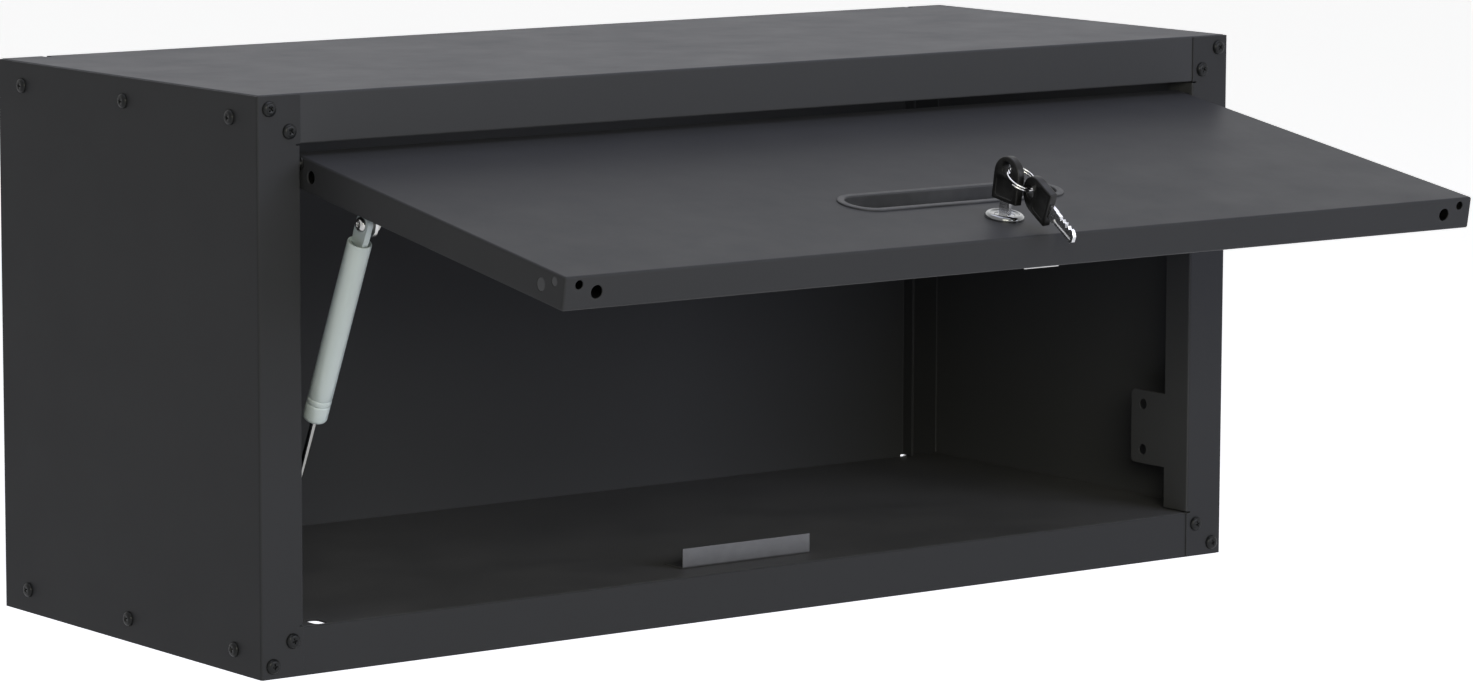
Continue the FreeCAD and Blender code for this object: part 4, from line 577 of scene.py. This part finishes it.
class CabinetFinishes(bpy.types.PropertyGroup):
    """Colours and finish of the cabinet"""
    coat: bpy.props.FloatVectorProperty(
        name="Powder coat", description="Colour of the powder coat", subtype="COLOR", size=4,
        min=0, max=1, default=(0.040, 0.041, 0.044, 1))
    strut: bpy.props.FloatVectorProperty(
        name="Strut", description="Colour of the strut's tube", subtype="COLOR", size=4,
        min=0, max=1, default=(0.58, 0.66, 0.67, 1))
    plastic: bpy.props.FloatVectorProperty(
        name="Plastic", description="Colour of the key bows", subtype="COLOR", size=4,
        min=0, max=1, default=(0.006, 0.006, 0.006, 1))
    grain: bpy.props.FloatProperty(
        name="Orange peel", description="Scale of the powder coat's skin", default=520, min=50)


class CabinetFittings(bpy.types.PropertyGroup):
    """Sizes of the small fittings, in millimetres"""
    screw_radius: bpy.props.FloatProperty(
        name="Screw head radius", description="Radius of the case screws' heads", default=4.7, min=2)
    screw_height: bpy.props.FloatProperty(
        name="Screw head height", description="Height of the case screws' heads", default=2.4, min=1)
    bezel_radius: bpy.props.FloatProperty(
        name="Bezel radius", description="Radius of the lock's bezel", default=12.2, min=10)
    ring_radius: bpy.props.FloatProperty(
        name="Ring radius", description="Radius of the key ring's centre line", default=9.2, min=5)
    ring_wire: bpy.props.FloatProperty(
        name="Ring wire", description="Radius of the key ring's wire", default=0.55, min=0.2)


class CabinetStudio(bpy.types.PropertyGroup):
    """Camera and lights"""
    lens: bpy.props.FloatProperty(
        name="Lens", description="Focal length", subtype="DISTANCE_CAMERA", default=141.16, min=20)
    heading: bpy.props.FloatProperty(
        name="Heading", description="Turn to the right of the view", subtype="ANGLE", default=0.64376)
    tilt: bpy.props.FloatProperty(
        name="Tilt", description="Tilt of the view", subtype="ANGLE", default=-0.13741)
    roll: bpy.props.FloatProperty(
        name="Roll", description="Roll of the view", subtype="ANGLE", default=0.0035)
    position: bpy.props.FloatVectorProperty(
        name="Position", description="Place of the camera", subtype="TRANSLATION", size=3,
        default=(-2.18175, -3.17585, 0.37168))
    floor: bpy.props.FloatProperty(
        name="Floor", description="Height of the floor", subtype="DISTANCE", unit="LENGTH", default=-0.545)
    room: bpy.props.FloatVectorProperty(
        name="Room", description="Light from all round, per colour", size=3, min=0,
        default=(0.01, 0.01, 0.01))
    top_light: bpy.props.FloatVectorProperty(
        name="Top light", description="Power of the light overhead, per colour", size=3, min=0,
        default=(33, 34, 43))
    front_light: bpy.props.FloatVectorProperty(
        name="Front light", description="Power of the light in front, per colour", size=3, min=0,
        default=(32, 33, 38))
    fill_light: bpy.props.FloatVectorProperty(
        name="Fill light", description="Power of the light beside the camera, per colour", size=3, min=0,
        default=(50, 48.5, 40))


# Operators


class CABINET_OT_finishes(bpy.types.Operator):
    """Make the finishes and give them to the sheet metal and small parts"""
    bl_idname = "cabinet.finishes"
    bl_label = "Finishes"

    def execute(self, context):
        colours = context.scene.cabinet_finishes
        GROUPS["coat"] = powder_coat_group()
        GROUPS["brushed"] = brushed_group()
        GROUPS["moulded"] = moulded_group()
        # Where a finish's Edge is above 0, its colour is lifted along edges as a painted highlight, on the
        # powder coat partly a thinner coat as well
        coat = {"Colour": colours.coat, "Peel": colours.grain}
        duller = {"bump": 0.12, "bump_reach": 0.00012, "specular": 0.064}
        # The roof and the back wall take a paler copy of the coat as painted light; the roof's inner faces
        # are also lifted a little as painted fill light
        paler = 1.5
        pale = [channel * paler for channel in colours.coat[:3]] + [1]
        roof = {**coat, "Colour": pale, "Inside": 0.3}
        # The inside setting makes the inner faces of the side panels and the floor paler, as painted fill
        # light
        make_finish("powder_coat_case", "coat", {**coat, "Inside": 1.0}, **duller)
        make_finish("powder_coat_door", "coat", {**coat, "Cloud": 0.05}, **{**duller, "specular": 0.07})
        make_finish("powder_coat_inside", "coat", {**coat, "Dust": 0.002}, **duller)
        make_finish("powder_coat_back", "coat", {**coat, "Colour": pale, "Dust": 0.0}, **duller)
        make_finish("powder_coat_roof", "coat", roof, **{**duller, "specular": 0.045})
        make_finish("powder_coat_floor", "coat", {**coat, "Dust": 0.3, "Inside": 1.0}, **duller)
        make_finish("coated_screw", "coat", {
            "Colour": (0.014, 0.015, 0.016, 1), "Peel": 1500, "Edge": 0.0, "Edge Reach": 0.00008,
            "Sheen Low": 0.24, "Sheen High": 0.32, "Dust": 0.0},
            bump=0.05, bump_reach=0.00003, specular=0.14)
        make_finish("strut_paint", "coat", {
            "Colour": colours.strut, "Peel": 900, "Fleck": 0.03, "Cloud": 0.04, "Edge": 0.12,
            "Sheen Low": 0.30, "Sheen High": 0.38, "Dust": 0.0}, bump=0.06, bump_reach=0.00005, coat=0.15)
        make_finish("zinc_plate", "brushed", {"Colour": (0.50, 0.50, 0.49, 1), "Tarnish": 0.18},
                    metallic=1.0, bump=0.12, bump_reach=0.00004)
        make_finish("bright_zinc", "brushed", {
            "Colour": (0.72, 0.72, 0.71, 1), "Tarnish": 0.10, "Rough Low": 0.12, "Rough High": 0.22},
            metallic=1.0, bump=0.05, bump_reach=0.00003, facing=0.55)
        make_finish("strike_steel", "brushed", {
            "Colour": (0.12, 0.122, 0.13, 1), "Along": (0.03, 1, 1), "Tarnish": 0.12,
            "Rough Low": 0.38, "Rough High": 0.5}, metallic=0.4, bump=0.08, bump_reach=0.00004)
        make_finish("polished_rod", "brushed", {
            "Colour": (0.50, 0.50, 0.49, 1), "Along": (1, 1, 0.03), "Tarnish": 0.05,
            "Rough Low": 0.14, "Rough High": 0.22}, metallic=1.0, bump=0.04, bump_reach=0.00002, facing=0.6)
        make_finish("chrome_bezel", "brushed", {
            "Colour": (0.52, 0.53, 0.54, 1), "Tarnish": 0.04, "Rough Low": 0.08, "Rough High": 0.16},
            metallic=1.0, bump=0.03, bump_reach=0.00002, facing=0.28)
        make_finish("key_nickel", "brushed", {
            "Colour": (0.85, 0.85, 0.86, 1), "Along": (1, 1, 0.06), "Tarnish": 0.08, "Edge": 1.2,
            "Rough Low": 0.18, "Rough High": 0.30}, metallic=1.0, bump=0.08, bump_reach=0.00003, facing=0.5)
        make_finish("ring_steel", "brushed", {
            "Colour": (0.80, 0.80, 0.80, 1), "Tarnish": 0.04, "Rough Low": 0.08, "Rough High": 0.14},
            metallic=1.0, bump=0.02, bump_reach=0.00002, facing=0.75)
        make_finish("black_plastic", "moulded", {"Colour": colours.plastic, "Edge": 0.5}, bump=0.08,
                    bump_reach=0.00004, specular=0.25)
        make_finish("pull_plastic", "moulded", {
            "Colour": (0.034, 0.035, 0.038, 1), "Grain": 1400, "Rough Low": 0.42, "Rough High": 0.52},
            bump=0.06, bump_reach=0.00004, specular=0.3)
        wanted = {
            "powder_coat_case": ("left_side_panel", "right_side_panel"),
            "powder_coat_roof": ("top_panel",),
            "powder_coat_floor": ("bottom_panel",),
            "powder_coat_back": ("back_panel",),
            "powder_coat_inside": ("door_inner_panel", "strut_lower_plate"),
            "powder_coat_door": ("door_outer_pan",),
            "strike_steel": ("strike_plate", "strike_rivets"),
            "zinc_plate": (
                "front_corner_nuts", "side_nuts", "back_panel_rivets", "strut_plate_nuts",
                "lock_nut", "lock_cam", "cam_screw", "strut_pivot_nut", "strut_pivot_washer",
                "bracket_rivets", "door_stiffener", "strut_ball_stud", "strut_door_bracket"),
            "coated_screw": ("front_corner_screws", "side_screws", "strut_plate_screws"),
            "bright_zinc": ("hinge_pins", "strut_pivot_screw"),
            "ring_steel": ("key_ring",),
            "black_plastic": (
                "hinge_bushings", "strut_gland", "strut_piston", "strut_rod_end", "key_bow",
                "spare_key_bow"),
            "pull_plastic": ("pull_cup", "flange_hole_plugs"),
            "chrome_bezel": ("lock_housing", "lock_plug"),
            "key_nickel": ("key_blade", "spare_key_blade"),
            "strut_paint": ("strut_tube", "strut_top_eye"),
            "polished_rod": ("strut_rod",),
        }
        for finish, names in wanted.items():
            for name in names:
                NODES[name].data.materials.clear()
                NODES[name].data.materials.append(FINISH[finish])
        return {"FINISHED"}


def pan_head(name, radius, height, shank, reach):
    """A pan-head screw with a cross recess; z points out of the head, the seat is at zero."""
    crown_share = 0.92
    recess_foot = (0.55, 0.7, 1)
    head = rod(name, radius, 0, height, 48)
    bpy.ops.object.mode_set(mode="EDIT")
    pick(head, "edges", lambda edge: edge_level(edge, 2, height))
    bpy.ops.mesh.bevel(offset=height * crown_share * MM, offset_type="OFFSET", segments=9, profile=0.5)
    bpy.ops.object.mode_set(mode="OBJECT")
    # The recess: half its length, half its width and its depth
    wing, half_width, depth = radius * 0.5, radius * 0.12, height * 0.6
    for turn in (0, math.pi / 2):
        cutter = box("recess", (-wing, -half_width, height - depth), (wing, half_width, height + 1))
        bpy.ops.object.mode_set(mode="EDIT")
        pick(cutter, "verts", lambda vert: vert.co.z < height * MM)
        bpy.ops.transform.resize(value=recess_foot, center_override=(0, 0, 0))
        bpy.ops.object.mode_set(mode="OBJECT")
        place(cutter, Matrix.Rotation(turn + math.pi / 4, 4, "Z"))
        carve(head, cutter)
    soften(head, 0.08, 2)
    stem = rod("stem", shank, -reach, 0.2, 24)
    screw = join(name, head, stem)
    smooth(screw, 30)
    return screw


def seat(origin, outward, turn=0.0):
    """A matrix that stands a screw on a surface, looking outwards."""
    outward = Vector(outward)
    side = Vector((0, 0, 1)) if abs(outward.z) < 0.9 else Vector((1, 0, 0))
    return basis(origin, side, outward) @ Matrix.Rotation(turn, 4, "Z")


# How far the case's screws are from its edges, seen from the front and from the side
CORNER_INSETS = (8.25, 22.25)
SIDE_INSET = 30
SIDE_RISE = 15
SCREW_SHANK, SCREW_REACH = 2.4, 9
# Every recess is turned on from the one before
NEXT_TURN = 0.83


class CABINET_OT_screws(bpy.types.Operator):
    """Screws in the frame's corners and down the sides"""
    bl_idname = "cabinet.screws"
    bl_label = "Case screws"

    def execute(self, context):
        sizes = context.scene.cabinet_fittings
        half_x = CAD_BOX_OF["right_side_panel"][1][0] / MM
        front = CAD_BOX_OF["left_side_panel"][0][1] / MM
        top = CAD_BOX_OF["top_panel"][1][2] / MM
        bottom = CAD_BOX_OF["bottom_panel"][0][2] / MM
        turn = 0.0
        corner_seats = []
        for inset in CORNER_INSETS:
            for across in (-1, 1):
                for height in (bottom + inset, top - inset):
                    turn += NEXT_TURN
                    point = in_mm((half_x - inset) * across, front, height)
                    corner_seats.append(seat(point, (0, -1, 0), turn))
        side_seats = []
        for across in (-1, 1):
            for back in (front + SIDE_INSET, front / 2, -SIDE_INSET):
                for height in (bottom + SIDE_RISE, top - SIDE_RISE):
                    turn += NEXT_TURN
                    point = in_mm(half_x * across, back, height)
                    side_seats.append(seat(point, (across, 0, 0), turn))
        for name, seats, node in (
            ("corner_screws", corner_seats, "front_corner_screws"),
            ("side_wall_screws", side_seats, "side_screws"),
        ):
            screw = pan_head("screw", sizes.screw_radius, sizes.screw_height, SCREW_SHANK, SCREW_REACH)
            group = copies(screw, seats, name)
            finish_piece(group, FINISH["coated_screw"], "case", "black_screws", node)
        return {"FINISHED"}


def follow(steps):
    """In edit mode, take the picked face in and up step by step; a step straight up pulls out a wall."""
    for inward, rise in steps:
        if inward:
            bpy.ops.mesh.inset(thickness=inward * MM, depth=0, use_boundary=True)
            bpy.ops.transform.translate(value=(0, 0, rise * MM))
        else:
            bpy.ops.mesh.extrude_region_move(TRANSFORM_OT_translate={"value": (0, 0, rise * MM)})


class CABINET_OT_pull(bpy.types.Operator):
    """The finger pull let into the door"""
    bl_idname = "cabinet.pull"
    bl_label = "Finger pull"

    def execute(self, context):
        lip_half, lip_radius, from_lock, slack = 83.0, 18.5, 50.9, 0.05
        pull = obround("finger_pull", lip_half, lip_radius)
        bpy.ops.object.mode_set(mode="EDIT")
        bpy.ops.mesh.select_all(action="SELECT")
        # The lip's rounded edge, then its flat, then down into the bowl
        follow([
            (0.0, 0.45), (0.12, 0.35), (0.35, 0.25), (0.7, 0.15), (2.6, 0.0),
            (0.5, -0.12), (0.35, -0.35), (0.2, -0.8), (0.15, -8.6), (0.6, -1.9), (1.4, -1.4), (2.2, -0.55),
        ])
        # From the face it started with: in under the lip, then down the outside of the bowl
        pick(pull, "faces", lambda face: all(abs(vert.co.z) < slack * MM for vert in face.verts))
        follow([(3.5, 0.0), (0.0, -9.5), (0.6, -2.2), (1.6, -1.6), (2.4, -0.7)])
        bpy.ops.object.mode_set(mode="OBJECT")
        outwards(pull)
        smooth(pull, 32)
        place(pull, LOCK_PLACE @ Matrix.Translation(in_mm(0, from_lock, 0)))
        finish_piece(pull, FINISH["pull_plastic"], "door", "black_plastic", "pull_cup")
        return {"FINISHED"}


class CABINET_OT_lock(bpy.types.Operator):
    """The lock's bezel and barrel, its plug and its keyway"""
    bl_idname = "cabinet.lock"
    bl_label = "Lock"

    def execute(self, context):
        bezel = context.scene.cabinet_fittings.bezel_radius
        bore, barrel, thread_root = 6.3, 9.0, 8.66
        foot, chamfer_top, thread_foot, threads = -22.3, -21.9, -21.3, 15
        profile = [(bore, foot), (8.7, foot), (barrel, chamfer_top)]
        # Shallow rings stand for the barrel's thread
        for step in range(threads):
            height = thread_foot + step
            profile += [(barrel, height), (thread_root, height + 0.5)]
        profile += [(barrel, -6.2), (barrel, -1.1), (9.05, 0.0), (bezel, 0.0)]
        # The bezel's rounded brow, then the dish down to the plug
        rim, brow, rise = 0.9, 2.7, 2.5
        for across, up in quarter_turn():
            profile.append((bezel - brow + brow * across, rim + rise * up))
        profile += [(9.1, 3.25), (8.8, 2.9), (8.4, 2.5), (8.0, 2.3), (6.7, 2.3), (6.4, 2.2), (bore, 2.0)]
        body = lathe("lock_body", profile, 64, closed=True)
        smooth(body, 28)
        place(body, LOCK_PLACE)
        finish_piece(body, FINISH["chrome_bezel"], "door", "chrome_lock", "lock_housing")
        plug_radius, shoulder_radius, tail_half = 6.22, 8.0, 3.5
        face, shoulder_top, tail_top, tail_foot = 2.15, -22.6, -25.3, -27.6
        way_half_width, way_half_length, way_foot = 1.15, 4.25, -20
        plug = rod("lock_core", plug_radius, shoulder_top, face, 64)
        bpy.ops.object.mode_set(mode="EDIT")
        pick(plug, "edges", lambda edge: edge_level(edge, 2, face))
        bpy.ops.mesh.bevel(offset=0.4 * MM, segments=3)
        bpy.ops.object.mode_set(mode="OBJECT")
        carve(plug, box(
            "keyway", (-way_half_width, -way_half_length, way_foot), (way_half_width, way_half_length, 4)))
        shoulder = rod("shoulder", shoulder_radius, tail_top, shoulder_top, 48)
        tail = box("tail", (-tail_half, -tail_half, tail_foot), (tail_half, tail_half, tail_top))
        plug = join("lock_core", plug, shoulder, tail)
        smooth(plug, 30)
        place(plug, LOCK_PLACE)
        finish_piece(plug, FINISH["chrome_bezel"], "lock", "chrome_lock", "lock_plug")
        return {"FINISHED"}


def key_bow(name):
    """A moulded bow: arched top, ring hole and a sunk panel on each face; x is its thickness."""
    half, low, high, half_thick = 11.5, 10.2, 37.8, 2.6
    hole_radius, foot_round = 4.2, 1.0
    panel_half, panel_low, panel_high, panel_depth, panel_round = 8.2, 12.6, 24.2, 0.35, 2.2
    slot_half, slot_depth, slot_half_thick = 4.65, 11.1, 1.1
    bpy.ops.object.select_all(action="DESELECT")
    bpy.ops.mesh.primitive_circle_add(vertices=72, radius=half * MM, fill_type="NGON")
    bow = named(name)
    bpy.ops.object.mode_set(mode="EDIT")
    bpy.ops.mesh.select_all(action="SELECT")
    bpy.ops.transform.translate(value=in_mm(0, high - half, 0))
    bpy.ops.mesh.bisect(plane_co=in_mm(0, high - half, 0), plane_no=(0, 1, 0), clear_inner=True)
    pick(bow, "edges", lambda edge: edge_level(edge, 1, high - half))
    bpy.ops.mesh.extrude_region_move(TRANSFORM_OT_translate={"value": in_mm(0, low - high + half, 0)})
    pick(bow, "verts", lambda vert: abs(vert.co.y / MM - low) < 0.02)
    bpy.ops.mesh.bevel(offset=foot_round * MM, segments=4, affect="VERTICES")
    bpy.ops.mesh.select_all(action="SELECT")
    bpy.ops.transform.translate(value=in_mm(0, 0, -half_thick))
    bpy.ops.mesh.extrude_region_move(TRANSFORM_OT_translate={"value": in_mm(0, 0, half_thick * 2)})
    bpy.ops.mesh.select_all(action="SELECT")
    bpy.ops.mesh.normals_make_consistent(inside=False)
    bpy.ops.object.mode_set(mode="OBJECT")
    soften(bow, 0.9, 4, 50)
    hole = rod("hole", hole_radius, -6, 6, 40)
    place(hole, Matrix.Translation(in_mm(0, KEY_HOLE, 0)))
    carve(bow, hole)
    # The sunk panel below the hole, on both faces
    for side in (-1, 1):
        panel = box(
            "panel", (-panel_half, panel_low, half_thick - panel_depth),
            (panel_half, panel_high, half_thick + 1))
        bpy.ops.object.mode_set(mode="EDIT")
        pick(panel, "edges", lambda edge: abs(edge.verts[0].co.z - edge.verts[1].co.z) > 0.5 * MM)
        bpy.ops.mesh.bevel(offset=panel_round * MM, segments=5)
        bpy.ops.object.mode_set(mode="OBJECT")
        if side < 0:
            place(panel, Matrix.Rotation(math.pi, 4, "Y"))
        carve(bow, panel)
    # The slot that the blade is let into
    carve(bow, box(
        "slot", (-slot_half, low - 1, -slot_half_thick), (slot_half, low + slot_depth, slot_half_thick)))
    soften(bow, 0.18, 2, 45)
    # Stand it up: width along y, height along z, thickness along x
    place(bow, Matrix(((0, 0, 1, 0), (1, 0, 0, 0), (0, 1, 0, 0), (0, 0, 0, 1))))
    smooth(bow, 40)
    return bow


class CABINET_OT_keys(bpy.types.Operator):
    """The key in the lock, the spare key and the split ring"""
    bl_idname = "cabinet.keys"
    bl_label = "Keys and ring"

    def execute(self, context):
        sizes = context.scene.cabinet_fittings
        for name, spot, body, node in (
            ("key_head", LOCK_PLACE, "key", "key_bow"),
            ("spare_key_head", SPARE_PLACE, "spare_key", "spare_key_bow"),
        ):
            bow = key_bow(name)
            place(bow, spot)
            finish_piece(bow, FINISH["black_plastic"], body, "black_plastic", node)
        bpy.ops.object.select_all(action="DESELECT")
        bpy.ops.mesh.primitive_circle_add(
            vertices=14, radius=sizes.ring_wire * MM, rotation=(math.pi / 2, 0, 0),
            location=in_mm(sizes.ring_radius, 0, -RING_PITCH * RING_TURNS / 2))
        coil_steps = 150
        ring = named("split_ring")
        bpy.ops.object.transform_apply(location=True, rotation=True, scale=True)
        coil = ring.modifiers.new("coil", "SCREW")
        coil.angle = 2 * math.pi * RING_TURNS
        coil.screw_offset = RING_PITCH * RING_TURNS * MM
        coil.steps = coil_steps
        coil.render_steps = coil_steps
        apply_modifier(ring, coil)
        bpy.ops.object.mode_set(mode="EDIT")
        pick(ring, "edges", lambda edge: edge.is_boundary)
        bpy.ops.mesh.edge_face_add()
        bpy.ops.mesh.select_all(action="SELECT")
        bpy.ops.mesh.normals_make_consistent(inside=False)
        bpy.ops.object.mode_set(mode="OBJECT")
        smooth(ring, 50)
        place(ring, LOCK_PLACE @ RING_PLACE)
        finish_piece(ring, FINISH["ring_steel"], "ring", "key_steel", "key_ring")
        return {"FINISHED"}


class CABINET_OT_strut(bpy.types.Operator):
    """The gas strut: painted tube, bright rod and its end fittings"""
    bl_idname = "cabinet.strut"
    bl_label = "Gas strut"

    def execute(self, context):
        radius, neck, throat, gland_bore = 7.5, 6.3, 6.0, 2.6
        top, bottom, round_end = -12.1, -135.5, 3.0
        # The hollow round the eye's neck and the rolled rim
        profile = [
            (0.01, top - 6.4), (throat, top - 6.4), (neck, top - 6.0), (neck, top - 0.6),
            (6.6, top - 0.15), (7.0, top), (7.35, top - 0.25), (radius, top - 0.7),
        ]
        profile += [(radius, height) for height in (-30, -60, -90, -110)]
        # Two grooves rolled into the tube near its foot
        groove, groove_lip = 7.1, 7.38
        for height in (bottom + 16.0, bottom + 12.0):
            profile += [
                (radius, height + 0.8), (groove_lip, height + 0.5), (groove, height + 0.2),
                (groove, height - 0.2), (groove_lip, height - 0.5), (radius, height - 0.8),
            ]
        for across, down in quarter_turn():
            profile.append((radius - round_end + round_end * across, bottom + round_end - round_end * down))
        profile += [(2.75, bottom), (gland_bore, bottom + 0.2), (gland_bore, bottom + 1.2)]
        tube = lathe("strut_cylinder_shell", profile, 64)
        smooth(tube, 35)
        place(tube, STRUT_PLACE)
        finish_piece(tube, FINISH["strut_paint"], "strut_cylinder", "strut_grey", "strut_tube")
        length, rod_radius, rod_top = 210.27, 2.0, -70.0
        shaft = lathe("strut_shaft", [
            (0.01, -length + 8.0), (1.9, -length + 8.0), (rod_radius, -length + 8.4), (rod_radius, -150),
            (rod_radius, rod_top - 0.2), (0.01, rod_top),
        ], 40)
        smooth(shaft, 35)
        place(shaft, STRUT_PLACE)
        finish_piece(shaft, FINISH["polished_rod"], "strut_piston_rod", "polished_rod", "strut_rod")
        low, high = CAD_BOX_OF["strut_pivot_screw"]
        head_radius = (high[1] - low[1]) / 2 / MM - 0.1
        screw = pan_head("strut_screw", head_radius, 2.6, 2.42, (high[0] - low[0]) / MM - 2.7)
        pivot = JOINTS["strut_swing"]["pos_m"]
        seat_x = low[0] + 2.65 * MM
        place(screw, seat((seat_x, pivot[1], pivot[2]), (-1, 0, 0), 0.35))
        finish_piece(screw, FINISH["bright_zinc"], "door", "bare_steel", "strut_pivot_screw")
        return {"FINISHED"}


# In metres: the studio's floor and how far the camera sees
FLOOR_SIDE = 30
SIGHT = 50


class CABINET_OT_stage(bpy.types.Operator):
    """Floor, lights, world and camera"""
    bl_idname = "cabinet.stage"
    bl_label = "Stage"

    def execute(self, context):
        studio = context.scene.cabinet_studio
        scene = context.scene
        scene.view_settings.view_transform = "Standard"
        bpy.ops.object.select_all(action="DESELECT")
        bpy.ops.mesh.primitive_plane_add(size=FLOOR_SIDE, location=(0, 0, studio.floor))
        floor = named("floor")
        floor.data.materials.append(backdrop_material())
        world = bpy.data.worlds.new("studio")
        scene.world = world
        world.use_nodes = True
        light_world(world.node_tree, studio.room)
        middle = (Vector(CAD_BOX[0]) + Vector(CAD_BOX[1])) / 2
        # Each light's power, its sides in metres and its place; all of them look at the cabinet's middle
        for name, power, sides, spot in (
            ("top_light", studio.top_light, (3.2, 2.4), (0.2, -0.4, 2.6)),
            ("front_light", studio.front_light, (2.0, 1.2), (1.2, -3.3, 0.7)),
            ("fill_light", studio.fill_light, (1.8, 1.2), (-1.6, -3.4, 0.9)),
        ):
            lamp = bpy.data.lights.new(name, "AREA")
            lamp.shape = "RECTANGLE"
            lamp.size, lamp.size_y = sides
            lamp.energy = max(power)
            lamp.color = [part / max(*power, 0.001) for part in power]
            holder = bpy.data.objects.new(name, lamp)
            scene.collection.objects.link(holder)
            holder.location = spot
            holder.rotation_euler = (middle - Vector(spot)).to_track_quat("-Z", "Y").to_euler()
            holder.visible_camera = False
        camera = bpy.data.cameras.new("camera")
        camera.sensor_width = 36
        camera.lens = studio.lens
        camera.clip_end = SIGHT
        eye = bpy.data.objects.new("camera", camera)
        scene.collection.objects.link(eye)
        turn = (
            Matrix.Rotation(-studio.heading, 4, "Z")
            @ Matrix.Rotation(math.pi / 2 + studio.tilt, 4, "X")
            @ Matrix.Rotation(studio.roll, 4, "Z"))
        eye.matrix_world = Matrix.Translation(studio.position) @ turn
        scene.camera = eye
        return {"FINISHED"}


def direct_sight(tree):
    """1 for what the camera, gloss and glass see directly."""
    rays = tree.add("ShaderNodeLightPath").outputs
    return tree.maths("MAXIMUM", rays["Is Camera Ray"],
                      tree.maths("MAXIMUM", rays["Is Glossy Ray"], rays["Is Transmission Ray"]))


def light_world(node_tree, light):
    """White to look at, dimmer as a light."""
    node_tree.nodes.clear()
    tree = Tree(node_tree)
    dull = tree.add("ShaderNodeBackground", {"Color": (*light, 1), "Strength": 1.0})
    bright = tree.add("ShaderNodeBackground", {"Color": (1, 1, 1, 1), "Strength": 1.0})
    blend = tree.add("ShaderNodeMixShader", {"Fac": direct_sight(tree)})
    tree.link(dull.outputs["Background"], blend.inputs[1])
    tree.link(bright.outputs["Background"], blend.inputs[2])
    end = tree.add("ShaderNodeOutputWorld")
    tree.link(blend.outputs["Shader"], end.inputs["Surface"])


def backdrop_material():
    """A pale matt floor, lifted to white where it is seen, with the object's shadow kept."""
    material = bpy.data.materials.new("studio_floor")
    material.use_nodes = True
    tree = Tree(material.node_tree)
    shader = material.node_tree.nodes["Principled BSDF"]
    place_on = tree.add("ShaderNodeTexCoord").outputs["Object"]
    tone = tree.spread(tree.noise(place_on, scale=3.0, detail=3.0), 0.3, 0.7, 0.88, 0.90)
    tree.link(tone, shader.inputs["Base Color"])
    shader.inputs["Roughness"].default_value = 0.9
    shader.inputs["Specular IOR Level"].default_value = 0.2
    shader.inputs["Emission Color"].default_value = (1, 1, 1, 1)
    tree.link(tree.maths("MULTIPLY", direct_sight(tree), 0.88), shader.inputs["Emission Strength"])
    return material


class CABINET_PT_panel(bpy.types.Panel):
    """Lists the cabinet's pieces and settings"""
    bl_idname = "CABINET_PT_panel"
    bl_label = "Cabinet"
    bl_space_type = "VIEW_3D"
    bl_region_type = "UI"
    bl_category = "Cabinet"

    def draw(self, context):
        for group in (context.scene.cabinet_finishes, context.scene.cabinet_fittings,
                      context.scene.cabinet_studio):
            for prop in group.bl_rna.properties:
                if not prop.is_readonly and prop.identifier != "name":
                    self.layout.prop(group, prop.identifier)
        for operator in OPERATORS:
            self.layout.operator(operator.bl_idname)


OPERATORS = (
    CABINET_OT_finishes,
    CABINET_OT_screws,
    CABINET_OT_pull,
    CABINET_OT_lock,
    CABINET_OT_keys,
    CABINET_OT_strut,
    CABINET_OT_stage,
)
SETTINGS = (
    ("cabinet_finishes", CabinetFinishes),
    ("cabinet_fittings", CabinetFittings),
    ("cabinet_studio", CabinetStudio),
)


def register():
    for name, group in SETTINGS:
        bpy.utils.register_class(group)
        setattr(bpy.types.Scene, name, bpy.props.PointerProperty(type=group))
    for item in (*OPERATORS, CABINET_PT_panel):
        bpy.utils.register_class(item)


def unregister():
    for item in (CABINET_PT_panel, *reversed(OPERATORS)):
        bpy.utils.unregister_class(item)
    for name, group in reversed(SETTINGS):
        delattr(bpy.types.Scene, name)
        bpy.utils.unregister_class(group)


def main():
    register()
    bpy.ops.cabinet.finishes()
    bpy.ops.cabinet.screws()
    bpy.ops.cabinet.pull()
    bpy.ops.cabinet.lock()
    bpy.ops.cabinet.keys()
    bpy.ops.cabinet.strut()
    bpy.ops.cabinet.stage()


if __name__ == "__main__":
    main()
